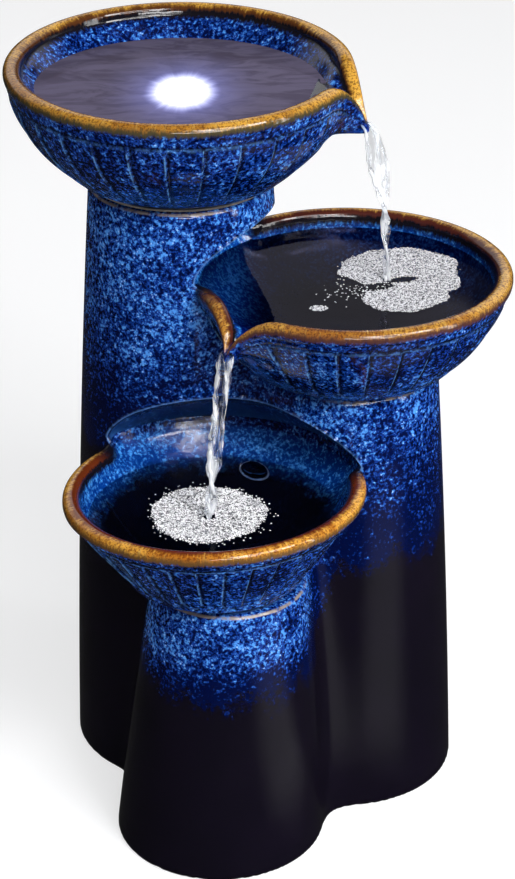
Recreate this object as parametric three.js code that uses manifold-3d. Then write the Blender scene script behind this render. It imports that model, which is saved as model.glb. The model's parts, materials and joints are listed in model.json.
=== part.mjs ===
// Tabletop cascade fountain: three round bowls on three fused hollow columns, with the pump inside.
// Millimetres, +Z up. The origin is on the surface it stands on, under the middle of its outline.
import * as THREE from "three";
import { mergeVertices } from "three/addons/utils/BufferGeometryUtils.js";
import { ConvexGeometry } from "three/addons/geometries/ConvexGeometry.js";
import Module from "manifold-3d";

// ---------------------------------------------------------------- driving dimensions
const GAP = 0.3; // between pieces that touch
const WALL = 7.5; // ceramic wall of the columns
const POCKET_WALL = 7; // ceramic round the pockets that the bowls nest in
const BASE_UNDERSIDE = 1.5;
const RESERVOIR_FLOOR = 10;
const RIM_WIDTH = 9.5;
const LIP_HEIGHT = 4;
const BOWL_FLOOR = 10; // from a bowl's foot up to its inner floor
const INNER_FLOOR_RADIUS = 30;
const BOWL_BULGE = 0.87;
const ROUND = 36; // sides of the large round ceramic shapes
const OUTSIDE_STEPS = 5; // straight stretches in the outer side of a bowl, and of the pocket it nests in
const INSIDE_STEPS = 4;

const TOP = { x: -45.6, y: 43.8, rim: 440, radius: 98.5, foot: 371, footRadius: 53 };
const MIDDLE = { x: 51.4, y: 16.3, rim: 325.2, radius: 92.8, foot: 267, footRadius: 53 };
const LOWER = { x: -26, y: -56.5, rim: 224.1, radius: 85.8, foot: 167, footRadius: 49 };
// The dome cut into the taller columns above a bowl's rim. A power of 1 is an ellipse; more brings its sides in.
MIDDLE.niche = { height: 34, power: 1 };
LOWER.niche = { height: 39, power: 1.4 };

// A column's radius falls with height z as base - slope z - curve z squared.
const SEAT_DROP = 1.8; // room for the seat ring under the top bowl
const TALL_COLUMN = { x: -45.6, y: 43.8, top: 371 - SEAT_DROP, base: 69.2, slope: 0.0212, curve: 6.15e-5 };
const MIDDLE_COLUMN = { x: 51.4, y: 16.3, top: 267, base: 67.3, slope: 0.0407, curve: 6.28e-5 };
const FRONT_COLUMN = { x: -20, y: -60, top: 167, base: 59.2, slope: 0.062, curve: 1.1e-4 };
const WEBS = [
  { between: [TALL_COLUMN, FRONT_COLUMN], radius: 33, top: 160 },
  { between: [MIDDLE_COLUMN, FRONT_COLUMN], radius: 33, top: 160 },
  { between: [TALL_COLUMN, MIDDLE_COLUMN], radius: 47, top: 255 },
];

const TOP_SPOUT = { turn: -10, tip: 107, tipDrop: 28, tipDepth: 9, rootDepth: 34, rootHalf: 34, tipHalf: 8 };
const MIDDLE_SPOUT = { turn: 225, tip: 100, tipDrop: 19, tipDepth: 9, rootDepth: 30, rootHalf: 30, tipHalf: 7 };

const DRAIN = { x: -2, z: 195, radius: 7.5 };
const GLAND = { z: 178, holeRadius: 7, boreRadius: 3.5 };

const SPIGOT = { radius: 44.5, bore: 38, depth: 9 };
const NOZZLE_HOLE = 8.5;
const LEAD_RADIUS = 1.6;
const LEAD_HOLE = { reach: 15, turn: 135, radius: 3.6 };
const HOSE = { outer: 7.5, inner: 5.2 };
const BARB = { outer: 4.9, bore: 3.4, low: 351 };
const HOSE_TOP = 364;

const PUMP = { x: -42, y: 46, z: 18, width: 40, height: 42, shaftHeight: 20 };
const SHAFT_RADIUS = 1.2;
const RUNNING_CLEARANCE = 0.06;

const FOOT_PAD = { radius: 9, height: 3, recess: 3.3 };
const FOOT_PLACES = [
  [-83, 78],
  [-83, 12],
  [-10, 88],
  [82, 48],
  [82, -14],
  [-20, -96],
];

// ---------------------------------------------------------------- materials
function finish(color, roughness, metalness = 0) {
  return new THREE.MeshStandardMaterial({ color, roughness, metalness });
}
const BLUE_GLAZE = finish(0x2a5aa8, 0.15);
const DARK_GLAZE = finish(0x15182a, 0.12);
const SILICONE = finish(0xcfd2cc, 0.5);
const BLACK_PLASTIC = finish(0x1b1c1e, 0.45);
const GREY_PLASTIC = finish(0x4a4d52, 0.5);
const CLEAR_PLASTIC = finish(0xdfe8f2, 0.08);
const LED_WHITE = finish(0xfff6d8, 0.3);
const BOARD_GREEN = finish(0x1d5a34, 0.55);
const CLEAR_HOSE = finish(0xdde3e6, 0.2);
const RUBBER = finish(0x202020, 0.85);
const SPONGE = finish(0x23262a, 0.95);
const MAGNET = finish(0x4d4a48, 0.5, 0.6);
const CERAMIC_SHAFT = finish(0xf1efe8, 0.25);

// ---------------------------------------------------------------- solids and meshes
const wasm = await Module();
wasm.setup();

function toSolid(geometry) {
  const bare = geometry.index ? geometry.toNonIndexed() : geometry.clone();
  bare.deleteAttribute("normal");
  bare.deleteAttribute("uv");
  const merged = mergeVertices(bare, 1e-4);
  const made = new wasm.Manifold(
    new wasm.Mesh({
      numProp: 3,
      vertProperties: merged.attributes.position.array,
      triVerts: new Uint32Array(merged.index.array),
    }),
  );
  return made;
}

function toGeometry(solid) {
  const mesh = solid.getMesh();
  const geometry = new THREE.BufferGeometry();
  geometry.setAttribute("position", new THREE.BufferAttribute(mesh.vertProperties, 3));
  geometry.setIndex(new THREE.BufferAttribute(mesh.triVerts, 1));
  geometry.computeVertexNormals();
  return geometry;
}

function union(solids) {
  return solids.reduce((sum, next) => sum.add(next));
}

// A profile of [radius, z] pairs turned about Z; it runs anticlockwise seen with Z up and the radius to the right.
function lathe(profile, sides, x = 0, y = 0) {
  const points = profile.map(([radius, z]) => new THREE.Vector2(Math.max(radius, 0), z));
  const geometry = new THREE.LatheGeometry(points, sides);
  return geometry.rotateX(Math.PI / 2).translate(x, y, 0);
}

function disc(radius, low, high, sides, x, y) {
  return lathe([[0, low], [radius, low], [radius, high], [0, high]], sides, x, y);
}

function ring(outer, inner, low, high, sides, x, y) {
  return lathe([[inner, low], [outer, low], [outer, high], [inner, high], [inner, low]], sides, x, y);
}

// A box from its lowest to its highest corner.
function block(low, high) {
  const size = high.map((value, axis) => value - low[axis]);
  const geometry = new THREE.BoxGeometry(...size);
  return geometry.translate(...low.map((value, axis) => value + size[axis] / 2));
}

// Turns a shape made about Z so that its axis lies along X, and puts its origin at a place.
function layAlongX(geometry, place) {
  return geometry.rotateY(Math.PI / 2).translate(...place);
}

function layAlongY(geometry, place) {
  return geometry.rotateX(-Math.PI / 2).translate(...place);
}

function circlePath(radius, sides, target = new THREE.Shape()) {
  for (let i = 0; i < sides; i++) {
    const turn = (i / sides) * 2 * Math.PI;
    const point = [radius * Math.cos(turn), radius * Math.sin(turn)];
    if (i === 0) target.moveTo(...point);
    else target.lineTo(...point);
  }
  target.closePath();
  return target;
}

// A round tube, or a solid cord when it has no inner radius, along a smooth curve through the places.
function tubeAlong(places, outer, inner, sides, steps) {
  const path = new THREE.CatmullRomCurve3(places.map((place) => new THREE.Vector3(...place)));
  const section = circlePath(outer, sides);
  if (inner > 0) section.holes.push(circlePath(inner, sides, new THREE.Path()));
  return new THREE.ExtrudeGeometry(section, { steps, bevelEnabled: false, extrudePath: path });
}

const fountain = new THREE.Group();

function addPiece(name, shape, material) {
  const geometry = shape instanceof THREE.BufferGeometry ? shape : toGeometry(shape);
  const mesh = new THREE.Mesh(geometry, material);
  mesh.name = name;
  fountain.add(mesh);
}

// ---------------------------------------------------------------- bowls
// The share of a bowl's widening reached at share s of its height.
function bulge(s) {
  return Math.pow(1 - (1 - s) ** 2, BOWL_BULGE);
}

// The outer side from the foot to the lip, with the wall moved out by extra.
function bowlOutside(bowl, extra, steps) {
  const profile = [];
  const shoulder = bowl.rim - LIP_HEIGHT;
  for (let i = 0; i <= steps; i++) {
    const s = i / steps;
    const radius = bowl.footRadius + (bowl.radius - bowl.footRadius) * bulge(s);
    profile.push([radius + extra, bowl.foot + (shoulder - bowl.foot) * s]);
  }
  return profile;
}

// The inner side from the lip down to the floor's edge.
function bowlInside(bowl, steps) {
  const profile = [];
  const floor = bowl.foot + BOWL_FLOOR;
  const mouth = bowl.radius - RIM_WIDTH;
  for (let i = steps; i >= 0; i--) {
    const s = i / steps;
    const radius = INNER_FLOOR_RADIUS + (mouth - INNER_FLOOR_RADIUS) * bulge(s);
    profile.push([radius, floor + (bowl.rim - LIP_HEIGHT - floor) * s]);
  }
  return profile;
}

function bowlLip(bowl) {
  return [
    [bowl.radius - 1.2, bowl.rim - 1.2],
    [bowl.radius - RIM_WIDTH / 2, bowl.rim],
    [bowl.radius - RIM_WIDTH + 1.2, bowl.rim - 1.2],
  ];
}

function bowlSolid(bowl, underside) {
  const floor = bowl.foot + BOWL_FLOOR;
  const profile = [...underside, ...bowlOutside(bowl, 0, OUTSIDE_STEPS).slice(1), ...bowlLip(bowl)];
  return toSolid(lathe([...profile, ...bowlInside(bowl, INSIDE_STEPS), [0, floor]], ROUND, bowl.x, bowl.y));
}

// The water space of a bowl, up past its rim.
function bowlCavity(bowl) {
  const floor = bowl.foot + BOWL_FLOOR;
  const above = bowl.rim + 10;
  const wall = bowlInside(bowl, INSIDE_STEPS).reverse();
  const mouth = bowl.radius - RIM_WIDTH;
  return toSolid(lathe([[0, floor], ...wall, [mouth, above], [0, above]], ROUND, bowl.x, bowl.y));
}

// A convex block of cross-sections: each is [reach from the bowl's axis, half width, low z, high z].
function spoutBlock(bowl, spout, sections) {
  const turn = THREE.MathUtils.degToRad(spout.turn);
  const points = [];
  for (const [reach, half, low, high] of sections) {
    for (const side of [-half, half]) {
      for (const z of [low, high]) {
        const x = bowl.x + reach * Math.cos(turn) - side * Math.sin(turn);
        const y = bowl.y + reach * Math.sin(turn) + side * Math.cos(turn);
        points.push(new THREE.Vector3(x, y, z));
      }
    }
  }
  return toSolid(new ConvexGeometry(points));
}

function addSpout(bowlWithoutSpout, bowl, spout) {
  const tipTop = bowl.rim - spout.tipDrop;
  const root = bowl.radius - 12;
  const beak = spoutBlock(bowl, spout, [
    [root, spout.rootHalf, bowl.rim - spout.rootDepth, bowl.rim - 6],
    [spout.tip, spout.tipHalf, tipTop - spout.tipDepth, tipTop],
  ]);
  const channel = spoutBlock(bowl, spout, [
    [bowl.radius - 22, 11, bowl.rim - 17, bowl.rim - 16],
    [bowl.radius - 22, 25, bowl.rim + 8, bowl.rim + 9],
    [spout.tip + 4, 3.5, tipTop - 4, tipTop - 3],
    [spout.tip + 4, 18, bowl.rim + 8, bowl.rim + 9],
  ]);
  return bowlWithoutSpout.add(beak.subtract(bowlCavity(bowl))).subtract(channel);
}

function nestedUnderside(bowl) {
  const foot = bowl.foot + GAP;
  return [
    [0, bowl.foot + 3],
    [bowl.footRadius - 12, bowl.foot + 3],
    [bowl.footRadius - 10, foot],
    [bowl.footRadius, foot],
  ];
}

const drainAxisY = LOWER.y + 40;
const drainHole = disc(DRAIN.radius, 0, 75, 20, 0, 0);
const drainCut = toSolid(layAlongY(drainHole, [DRAIN.x, drainAxisY, DRAIN.z]));

const leadTurn = THREE.MathUtils.degToRad(LEAD_HOLE.turn);
const leadX = TOP.x + LEAD_HOLE.reach * Math.cos(leadTurn);
const leadY = TOP.y + LEAD_HOLE.reach * Math.sin(leadTurn);
const topFloor = TOP.foot + BOWL_FLOOR;
const topUnderside = TOP.foot + 3;

function makeTopBowl() {
  const underside = [
    [0, topUnderside],
    [SPIGOT.bore, topUnderside],
    [SPIGOT.bore, TOP.foot - SPIGOT.depth],
    [SPIGOT.radius, TOP.foot - SPIGOT.depth],
    [SPIGOT.radius, TOP.foot],
    [TOP.footRadius, TOP.foot],
  ];
  const nozzleHole = toSolid(disc(NOZZLE_HOLE, TOP.foot - 20, topFloor + 5, 24, TOP.x, TOP.y));
  const leadHole = toSolid(disc(LEAD_HOLE.radius, TOP.foot - 20, topFloor + 5, 16, leadX, leadY));
  const bowl = addSpout(bowlSolid(TOP, underside), TOP, TOP_SPOUT);
  return bowl.subtract(nozzleHole).subtract(leadHole);
}

const middleBowl = addSpout(bowlSolid(MIDDLE, nestedUnderside(MIDDLE)), MIDDLE, MIDDLE_SPOUT);
const lowerBowl = bowlSolid(LOWER, nestedUnderside(LOWER)).subtract(drainCut);

// ---------------------------------------------------------------- column body
function columnRadius(column, z) {
  return column.base - column.slope * z - column.curve * z * z;
}

function columnSolid(column, inset, low, high) {
  const steps = 3;
  const profile = [[0, low]];
  for (let i = 0; i <= steps; i++) {
    const z = low + ((high - low) * i) / steps;
    profile.push([columnRadius(column, z) - inset, z]);
  }
  profile.push([0, high]);
  return toSolid(lathe(profile, ROUND, column.x, column.y));
}

// The space a nested bowl takes: its outside, and a dome above its rim, grown by extra all round.
function pocket(bowl, extra) {
  const outside = bowlOutside(bowl, extra, OUTSIDE_STEPS);
  outside[0][1] -= Math.max(extra - GAP, 0);
  const profile = [[0, outside[0][1]], ...outside, [bowl.radius + extra, bowl.rim]];
  const steps = 4;
  for (let i = 1; i <= steps; i++) {
    const turn = ((i / steps) * Math.PI) / 2;
    const height = bowl.niche.height + extra;
    profile.push([(bowl.radius + extra) * Math.cos(turn), bowl.rim + height * Math.sin(turn) ** bowl.niche.power]);
  }
  profile[profile.length - 1][0] = 0;
  return toSolid(lathe(profile, ROUND, bowl.x, bowl.y));
}

// The block between the three column axes, grown outwards from its middle.
function core(grown, low, high) {
  const axes = [TALL_COLUMN, MIDDLE_COLUMN, FRONT_COLUMN];
  const middleX = axes.reduce((sum, axis) => sum + axis.x, 0) / axes.length;
  const middleY = axes.reduce((sum, axis) => sum + axis.y, 0) / axes.length;
  const points = [];
  for (const axis of axes) {
    const x = middleX + (axis.x - middleX) * grown;
    const y = middleY + (axis.y - middleY) * grown;
    points.push(new THREE.Vector3(x, y, low), new THREE.Vector3(x, y, high));
  }
  return toSolid(new ConvexGeometry(points));
}

function web({ between: [first, second], radius, top }) {
  const x = (first.x + second.x) / 2;
  const y = (first.y + second.y) / 2;
  return toSolid(lathe([[0, BASE_UNDERSIDE], [radius, BASE_UNDERSIDE], [radius - 8, top], [0, top]], 20, x, y));
}

function makeColumnBody() {
  const tall = columnSolid(TALL_COLUMN, 0, BASE_UNDERSIDE, TALL_COLUMN.top);
  const middle = columnSolid(MIDDLE_COLUMN, 0, BASE_UNDERSIDE, MIDDLE_COLUMN.top);
  const front = columnSolid(FRONT_COLUMN, 0, BASE_UNDERSIDE, FRONT_COLUMN.top);
  const outer = union([tall, middle, front, core(1, BASE_UNDERSIDE, 215), ...WEBS.map(web)]);

  const inner = union([
    columnSolid(TALL_COLUMN, WALL, RESERVOIR_FLOOR, TALL_COLUMN.top + 5),
    columnSolid(MIDDLE_COLUMN, WALL, RESERVOIR_FLOOR, MIDDLE_COLUMN.top + 5),
    columnSolid(FRONT_COLUMN, WALL, RESERVOIR_FLOOR, FRONT_COLUMN.top + 5),
    core(1.15, RESERVOIR_FLOOR, 150),
  ]);
  const middlePocketWall = pocket(MIDDLE, POCKET_WALL).intersect(tall);
  const lowerPocketWall = pocket(LOWER, POCKET_WALL).intersect(tall.add(middle));
  const hollow = inner.subtract(middlePocketWall).subtract(lowerPocketWall);

  const glandHole = disc(GLAND.holeRadius, 30, 90, 20, 0, 0);
  const glandCut = toSolid(layAlongY(glandHole, [TALL_COLUMN.x, TALL_COLUMN.y, GLAND.z]));
  const recesses = FOOT_PLACES.map(([x, y]) =>
    toSolid(disc(FOOT_PAD.radius + GAP, BASE_UNDERSIDE - 5, FOOT_PAD.recess, 16, x, y)),
  );
  return outer
    .subtract(hollow)
    .subtract(pocket(MIDDLE, GAP))
    .subtract(pocket(LOWER, GAP))
    .subtract(drainCut)
    .subtract(glandCut)
    .subtract(union(recesses));
}

addPiece("column_body", makeColumnBody(), DARK_GLAZE);
addPiece("middle_bowl", middleBowl, BLUE_GLAZE);
addPiece("lower_bowl", lowerBowl, BLUE_GLAZE);
addPiece("top_bowl", makeTopBowl(), BLUE_GLAZE);
addPiece(
  "seat_ring",
  ring(51.5, 46.5, TALL_COLUMN.top + GAP, TOP.foot - GAP, ROUND, TALL_COLUMN.x, TALL_COLUMN.y),
  SILICONE,
);

// ---------------------------------------------------------------- outlet nozzle in the top bowl
function makeNozzle() {
  const flangeLow = topFloor + 1.9;
  const profile = [
    [BARB.bore, BARB.low],
    [BARB.outer - 0.8, BARB.low],
    [BARB.outer, BARB.low + 3],
    [BARB.outer - 0.5, BARB.low + 3.5],
    [BARB.outer, BARB.low + 7],
    [BARB.outer, HOSE_TOP + 1],
    [NOZZLE_HOLE - 0.6, HOSE_TOP + 2],
    [NOZZLE_HOLE - 0.6, flangeLow],
    [11, flangeLow],
    [11, flangeLow + 2.4],
    [6, flangeLow + 3.4],
    [5.2, 402],
    [BARB.bore, 402],
    [BARB.bore, BARB.low],
  ];
  return lathe(profile, 20, TOP.x, TOP.y);
}

function makeNut() {
  const low = topUnderside - 7;
  const nut = toSolid(disc(13, low, topUnderside - GAP, 6, TOP.x, TOP.y));
  return nut.subtract(toSolid(disc(NOZZLE_HOLE - 0.6 + GAP, low - 1, topUnderside, 20, TOP.x, TOP.y)));
}

addPiece("outlet_nozzle", makeNozzle(), BLACK_PLASTIC);
addPiece("nozzle_nut", makeNut(), BLACK_PLASTIC);
addPiece("nozzle_washer", ring(10.6, 8.3, topFloor + GAP, topFloor + 1.6, 20, TOP.x, TOP.y), RUBBER);

// ---------------------------------------------------------------- underwater light round the nozzle
const LIGHT = { outer: 19, inner: 11.8, low: topFloor + GAP, high: topFloor + 9 };

function makeLightHousing() {
  const shell = 1.2;
  const cavityLow = LIGHT.low + 1.6;
  const profile = [
    [LIGHT.inner, LIGHT.low],
    [LIGHT.outer, LIGHT.low],
    [LIGHT.outer, LIGHT.high],
    [LIGHT.outer - shell, LIGHT.high],
    [LIGHT.outer - shell, cavityLow],
    [LIGHT.inner + shell, cavityLow],
    [LIGHT.inner + shell, LIGHT.high],
    [LIGHT.inner, LIGHT.high],
    [LIGHT.inner, LIGHT.low],
  ];
  const leadHole = disc(LEAD_RADIUS + GAP, LIGHT.low - 1, cavityLow + 0.5, 12, leadX, leadY);
  return toSolid(lathe(profile, 28, TOP.x, TOP.y)).subtract(toSolid(leadHole));
}

const boardOuter = LIGHT.outer - 1.6;
const boardInner = LIGHT.inner + 1.6;
const boardLow = LIGHT.low + 1.6 + GAP;
const boardHigh = boardLow + 1.2;
const chipReach = (LIGHT.outer + LIGHT.inner) / 2;

addPiece("light_housing", makeLightHousing(), GREY_PLASTIC);
addPiece("light_board", ring(boardOuter, boardInner, boardLow, boardHigh, 24, TOP.x, TOP.y), BOARD_GREEN);
for (let i = 0; i < 4; i++) {
  const turn = (i * Math.PI) / 2;
  const x = TOP.x + chipReach * Math.cos(turn);
  const y = TOP.y + chipReach * Math.sin(turn);
  const low = boardHigh + GAP;
  const chip = block([x - 1.4, y - 1.4, low], [x + 1.4, y + 1.4, low + 1]);
  addPiece(`light_chip_${i + 1}`, chip, LED_WHITE);
}
const lensLow = boardHigh + GAP + 1 + 1;
addPiece("light_lens", ring(boardOuter, boardInner, lensLow, LIGHT.high - 0.4, 28, TOP.x, TOP.y), CLEAR_PLASTIC);

// ---------------------------------------------------------------- light lead, grommet, plug and socket
const PLUG = { radius: 4, low: 340, high: 352 };
const SOCKET = { radius: 4.4, low: 322, high: PLUG.low - GAP };

addPiece(
  "lead_grommet",
  ring(LEAD_HOLE.radius - GAP, LEAD_RADIUS + GAP, topUnderside, topFloor - 0.5, 14, leadX, leadY),
  RUBBER,
);
addPiece(
  "light_lead_upper",
  disc(LEAD_RADIUS, PLUG.high + GAP, LIGHT.low + 1.5, 10, leadX, leadY),
  BLACK_PLASTIC,
);
addPiece("light_plug", disc(PLUG.radius, PLUG.low, PLUG.high, 16, leadX, leadY), BLACK_PLASTIC);
addPiece("light_socket", disc(SOCKET.radius, SOCKET.low, SOCKET.high, 16, leadX, leadY), BLACK_PLASTIC);

const hoseX = PUMP.x - 13;
const hoseY = PUMP.y;
const leadRunX = PUMP.x - 2;
const leadRunY = PUMP.y + 13;
const pumpTop = PUMP.z + PUMP.height;

const leadPlaces = [
  [leadX, leadY, SOCKET.low - GAP],
  [leadX, leadY, SOCKET.low - 14],
  [leadRunX - 2, leadRunY - 2, 285],
  [leadRunX, leadRunY, 260],
  [leadRunX, leadRunY, 200],
  [leadRunX, leadRunY, 140],
  [leadRunX + 1, leadRunY, 100],
  [leadRunX + 8, leadRunY - 4, 80],
  [leadRunX + 12, leadRunY - 6, 70],
  [leadRunX + 12, leadRunY - 6, pumpTop + GAP],
];
addPiece("light_lead_lower", tubeAlong(leadPlaces, LEAD_RADIUS, 0, 8, 26), BLACK_PLASTIC);

// ---------------------------------------------------------------- riser hose and its clips
const hosePlaces = [
  [hoseX, hoseY, pumpTop + 2],
  [hoseX, hoseY, pumpTop + 20],
  [hoseX, hoseY, 120],
  [hoseX, hoseY, 190],
  [hoseX, hoseY, 250],
  [-62.5, 38, 295],
  [-58, 39, 320],
  [TOP.x - 5, TOP.y - 1, 335],
  [TOP.x, TOP.y, 345],
  [TOP.x, TOP.y, 350],
  [TOP.x, TOP.y, 357],
  [TOP.x, TOP.y, HOSE_TOP],
];
addPiece("riser_hose", tubeAlong(hosePlaces, HOSE.outer, HOSE.inner, 10, 30), CLEAR_HOSE);

// A flat strap with one eye round the hose and one round the lead.
function makeLeadClip(z) {
  const clipHigh = 6;
  const eyes = [
    [hoseX, hoseY, HOSE.outer + 0.8],
    [leadRunX, leadRunY, LEAD_RADIUS + 0.8],
  ];
  const outside = eyes.map(([x, y, radius]) => toSolid(disc(radius + 1.6, z, z + clipHigh, 18, x, y)));
  const bores = eyes.map(([x, y, radius]) => toSolid(disc(radius, z - 1, z + clipHigh + 1, 18, x, y)));
  const reach = Math.hypot(leadRunX - hoseX, leadRunY - hoseY);
  const strap = block([0, -2, z], [reach, 2, z + clipHigh]);
  strap.rotateZ(Math.atan2(leadRunY - hoseY, leadRunX - hoseX)).translate(hoseX, hoseY, 0);
  return union([...outside, toSolid(strap)]).subtract(union(bores));
}
addPiece("lead_clip_1", makeLeadClip(125), GREY_PLASTIC);
addPiece("lead_clip_2", makeLeadClip(185), GREY_PLASTIC);

// ---------------------------------------------------------------- pump
const half = PUMP.width / 2;
const shaftZ = PUMP.z + PUMP.shaftHeight;
const MOTOR = { back: PUMP.x + 26, front: PUMP.x - 6 };
const VOLUTE = { back: MOTOR.front - GAP, front: PUMP.x - 20, chamber: 14, chamberFront: PUMP.x - 17.5 };
const COVER = { back: VOLUTE.front - GAP, front: PUMP.x - 36, shell: 2 };
const CAN = { radius: 8.4, back: PUMP.x + 19 };
const MAGNET_SIZE = { radius: 7.9, front: PUMP.x - 7, back: PUMP.x + 15 };

// A round hole or rod along X from one x to another, on the shaft's line.
function alongX(radius, from, to, sides, y = PUMP.y, z = shaftZ) {
  return layAlongX(disc(radius, 0, to - from, sides, 0, 0), [from, y, z]);
}

function pumpBlock(from, to, inset = 0) {
  const low = [from, PUMP.y - half + inset, PUMP.z + inset];
  const high = [to, PUMP.y + half - inset, pumpTop - inset];
  return block(low, high);
}

function makeMotor() {
  const body = toSolid(pumpBlock(MOTOR.front, MOTOR.back));
  return body.subtract(toSolid(alongX(CAN.radius, MOTOR.front - 1, CAN.back, 20)));
}

// The pump chamber, open to the motor, with its round inlet in front and the hose barb on top.
function makeVolute() {
  const body = toSolid(pumpBlock(VOLUTE.front, VOLUTE.back));
  const chamber = toSolid(alongX(VOLUTE.chamber, VOLUTE.chamberFront, VOLUTE.back + 1, 28));
  const inlet = toSolid(alongX(6, VOLUTE.front - 1, VOLUTE.chamberFront + 1, 16));
  const barb = toSolid(disc(BARB.outer, pumpTop - 1, pumpTop + 18, 16, hoseX, hoseY));
  const outlet = toSolid(disc(BARB.bore, shaftZ + 4, pumpTop + 20, 16, hoseX, hoseY));
  return body.subtract(chamber).subtract(inlet).add(barb).subtract(outlet).add(makeShaftBridge());
}

// A narrow bar across the inlet that holds the shaft's front bush.
function makeShaftBridge() {
  const bar = toSolid(
    block([VOLUTE.front, PUMP.y - 6.5, shaftZ - 2.8], [VOLUTE.chamberFront, PUMP.y + 6.5, shaftZ + 2.8]),
  );
  return bar.subtract(toSolid(alongX(2.2 + GAP, VOLUTE.front + 0.8, VOLUTE.chamberFront + 1, 14)));
}

function makeStrainer() {
  const outer = toSolid(pumpBlock(COVER.front, COVER.back));
  const inner = toSolid(pumpBlock(COVER.front + COVER.shell, COVER.back + 1, COVER.shell));
  const slots = [];
  for (let i = 0; i < 6; i++) {
    const z = PUMP.z + 6 + i * 3.2;
    const low = [COVER.front - 1, PUMP.y - 14, z];
    slots.push(toSolid(block(low, [COVER.front + COVER.shell + 0.5, PUMP.y + 14, z + 1.6])));
  }
  const dialHole = toSolid(alongX(2.4, COVER.front - 1, COVER.front + 3, 16, PUMP.y, dialZ));
  return outer.subtract(inner).subtract(union(slots)).subtract(dialHole);
}

const dialZ = pumpTop - 10;

// A round dial with a grip bar, on a stem through the strainer cover.
function makeDial() {
  const face = COVER.front - GAP;
  const dial = toSolid(alongX(7, face - 2.2, face, 20, PUMP.y, dialZ));
  const stem = toSolid(alongX(2.34, face - 1, COVER.front + 2.6, 16, PUMP.y, dialZ));
  const grip = toSolid(block([face - 4.4, PUMP.y - 1.1, dialZ - 6], [face - 2, PUMP.y + 1.1, dialZ + 6]));
  return union([dial, stem, grip]);
}

function makeImpeller() {
  const back = MAGNET_SIZE.front - GAP;
  const front = VOLUTE.chamberFront + 1.6;
  const parts = [toSolid(alongX(3.4, front, back, 18)), toSolid(alongX(11, back - 1.4, back, 24))];
  for (let i = 0; i < 6; i++) {
    const blade = block([front, -0.7, 2.6], [back - 1, 0.7, 11]);
    blade.rotateX((i * Math.PI) / 3).translate(0, PUMP.y, shaftZ);
    parts.push(toSolid(blade));
  }
  const bore = toSolid(alongX(SHAFT_RADIUS + RUNNING_CLEARANCE, front - 1, back + 1, 24));
  return union(parts).subtract(bore);
}

function makeMagnet() {
  const body = toSolid(alongX(MAGNET_SIZE.radius, MAGNET_SIZE.front, MAGNET_SIZE.back, 24));
  const bore = alongX(SHAFT_RADIUS + RUNNING_CLEARANCE, MAGNET_SIZE.front - 1, MAGNET_SIZE.back + 1, 24);
  return body.subtract(toSolid(bore));
}

function makeBush(from, to, outer) {
  const bore = toSolid(alongX(SHAFT_RADIUS + GAP, from - 1, to + 1, 14));
  return toSolid(alongX(outer, from, to, 14)).subtract(bore);
}

addPiece("pump_motor", makeMotor(), BLACK_PLASTIC);
addPiece("pump_volute", makeVolute(), BLACK_PLASTIC);
addPiece("strainer_cover", makeStrainer(), GREY_PLASTIC);
addPiece("flow_dial", makeDial(), BLACK_PLASTIC);
addPiece("impeller", makeImpeller(), GREY_PLASTIC);
addPiece("rotor_magnet", makeMagnet(), MAGNET);
addPiece("rotor_shaft", alongX(SHAFT_RADIUS, VOLUTE.front + 1.1, CAN.back - GAP, 24), CERAMIC_SHAFT);
addPiece("front_bush", makeBush(VOLUTE.front + 1.1, VOLUTE.chamberFront, 2.2), RUBBER);
addPiece("rear_bush", makeBush(CAN.back - 3, CAN.back - GAP, 4), RUBBER);

const spongeLow = [COVER.front + 5, PUMP.y - half + 3, PUMP.z + 3];
const spongeHigh = [COVER.back - 1, PUMP.y + half - 3, pumpTop - 3];
addPiece("filter_sponge", block(spongeLow, spongeHigh), SPONGE);

for (let i = 0; i < 4; i++) {
  const x = PUMP.x + (i < 2 ? -14 : 20);
  const y = PUMP.y + (i % 2 ? 13 : -13);
  const floor = RESERVOIR_FLOOR + GAP;
  const cup = [
    [0, floor + 2.4],
    [5.5, floor + 1.4],
    [8, floor],
    [8.4, floor + 0.8],
    [3, floor + 4],
    [3, PUMP.z - GAP],
    [0, PUMP.z - GAP],
  ];
  addPiece(`suction_cup_${i + 1}`, lathe(cup, 16, x, y), RUBBER);
}

// ---------------------------------------------------------------- cord gland and feet
function makeGland() {
  const wallY = columnRadius(TALL_COLUMN, GLAND.z);
  const neck = GLAND.holeRadius - GAP;
  const outside = wallY + 0.6;
  const inside = wallY - WALL - 2;
  const profile = [
    [GLAND.boreRadius, inside - 2.4],
    [neck + 3, inside - 2.4],
    [neck + 3, inside],
    [neck, inside],
    [neck, outside],
    [neck + 4, outside],
    [neck + 3, outside + 2.6],
    [GLAND.boreRadius + 1, outside + 3.4],
    [GLAND.boreRadius, outside + 3.4],
    [GLAND.boreRadius, inside - 2.4],
  ];
  return layAlongY(lathe(profile, 20), [TALL_COLUMN.x, TALL_COLUMN.y, GLAND.z]);
}
addPiece("cord_gland", makeGland(), RUBBER);

FOOT_PLACES.forEach(([x, y], i) => {
  addPiece(`foot_pad_${i + 1}`, disc(FOOT_PAD.radius, 0, FOOT_PAD.height, 16, x, y), RUBBER);
});

export default fountain;
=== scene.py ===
"""Looks of the tabletop cascade fountain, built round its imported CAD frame.
Lengths are in millimetres until a mesh is made."""

import json
import math

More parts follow.
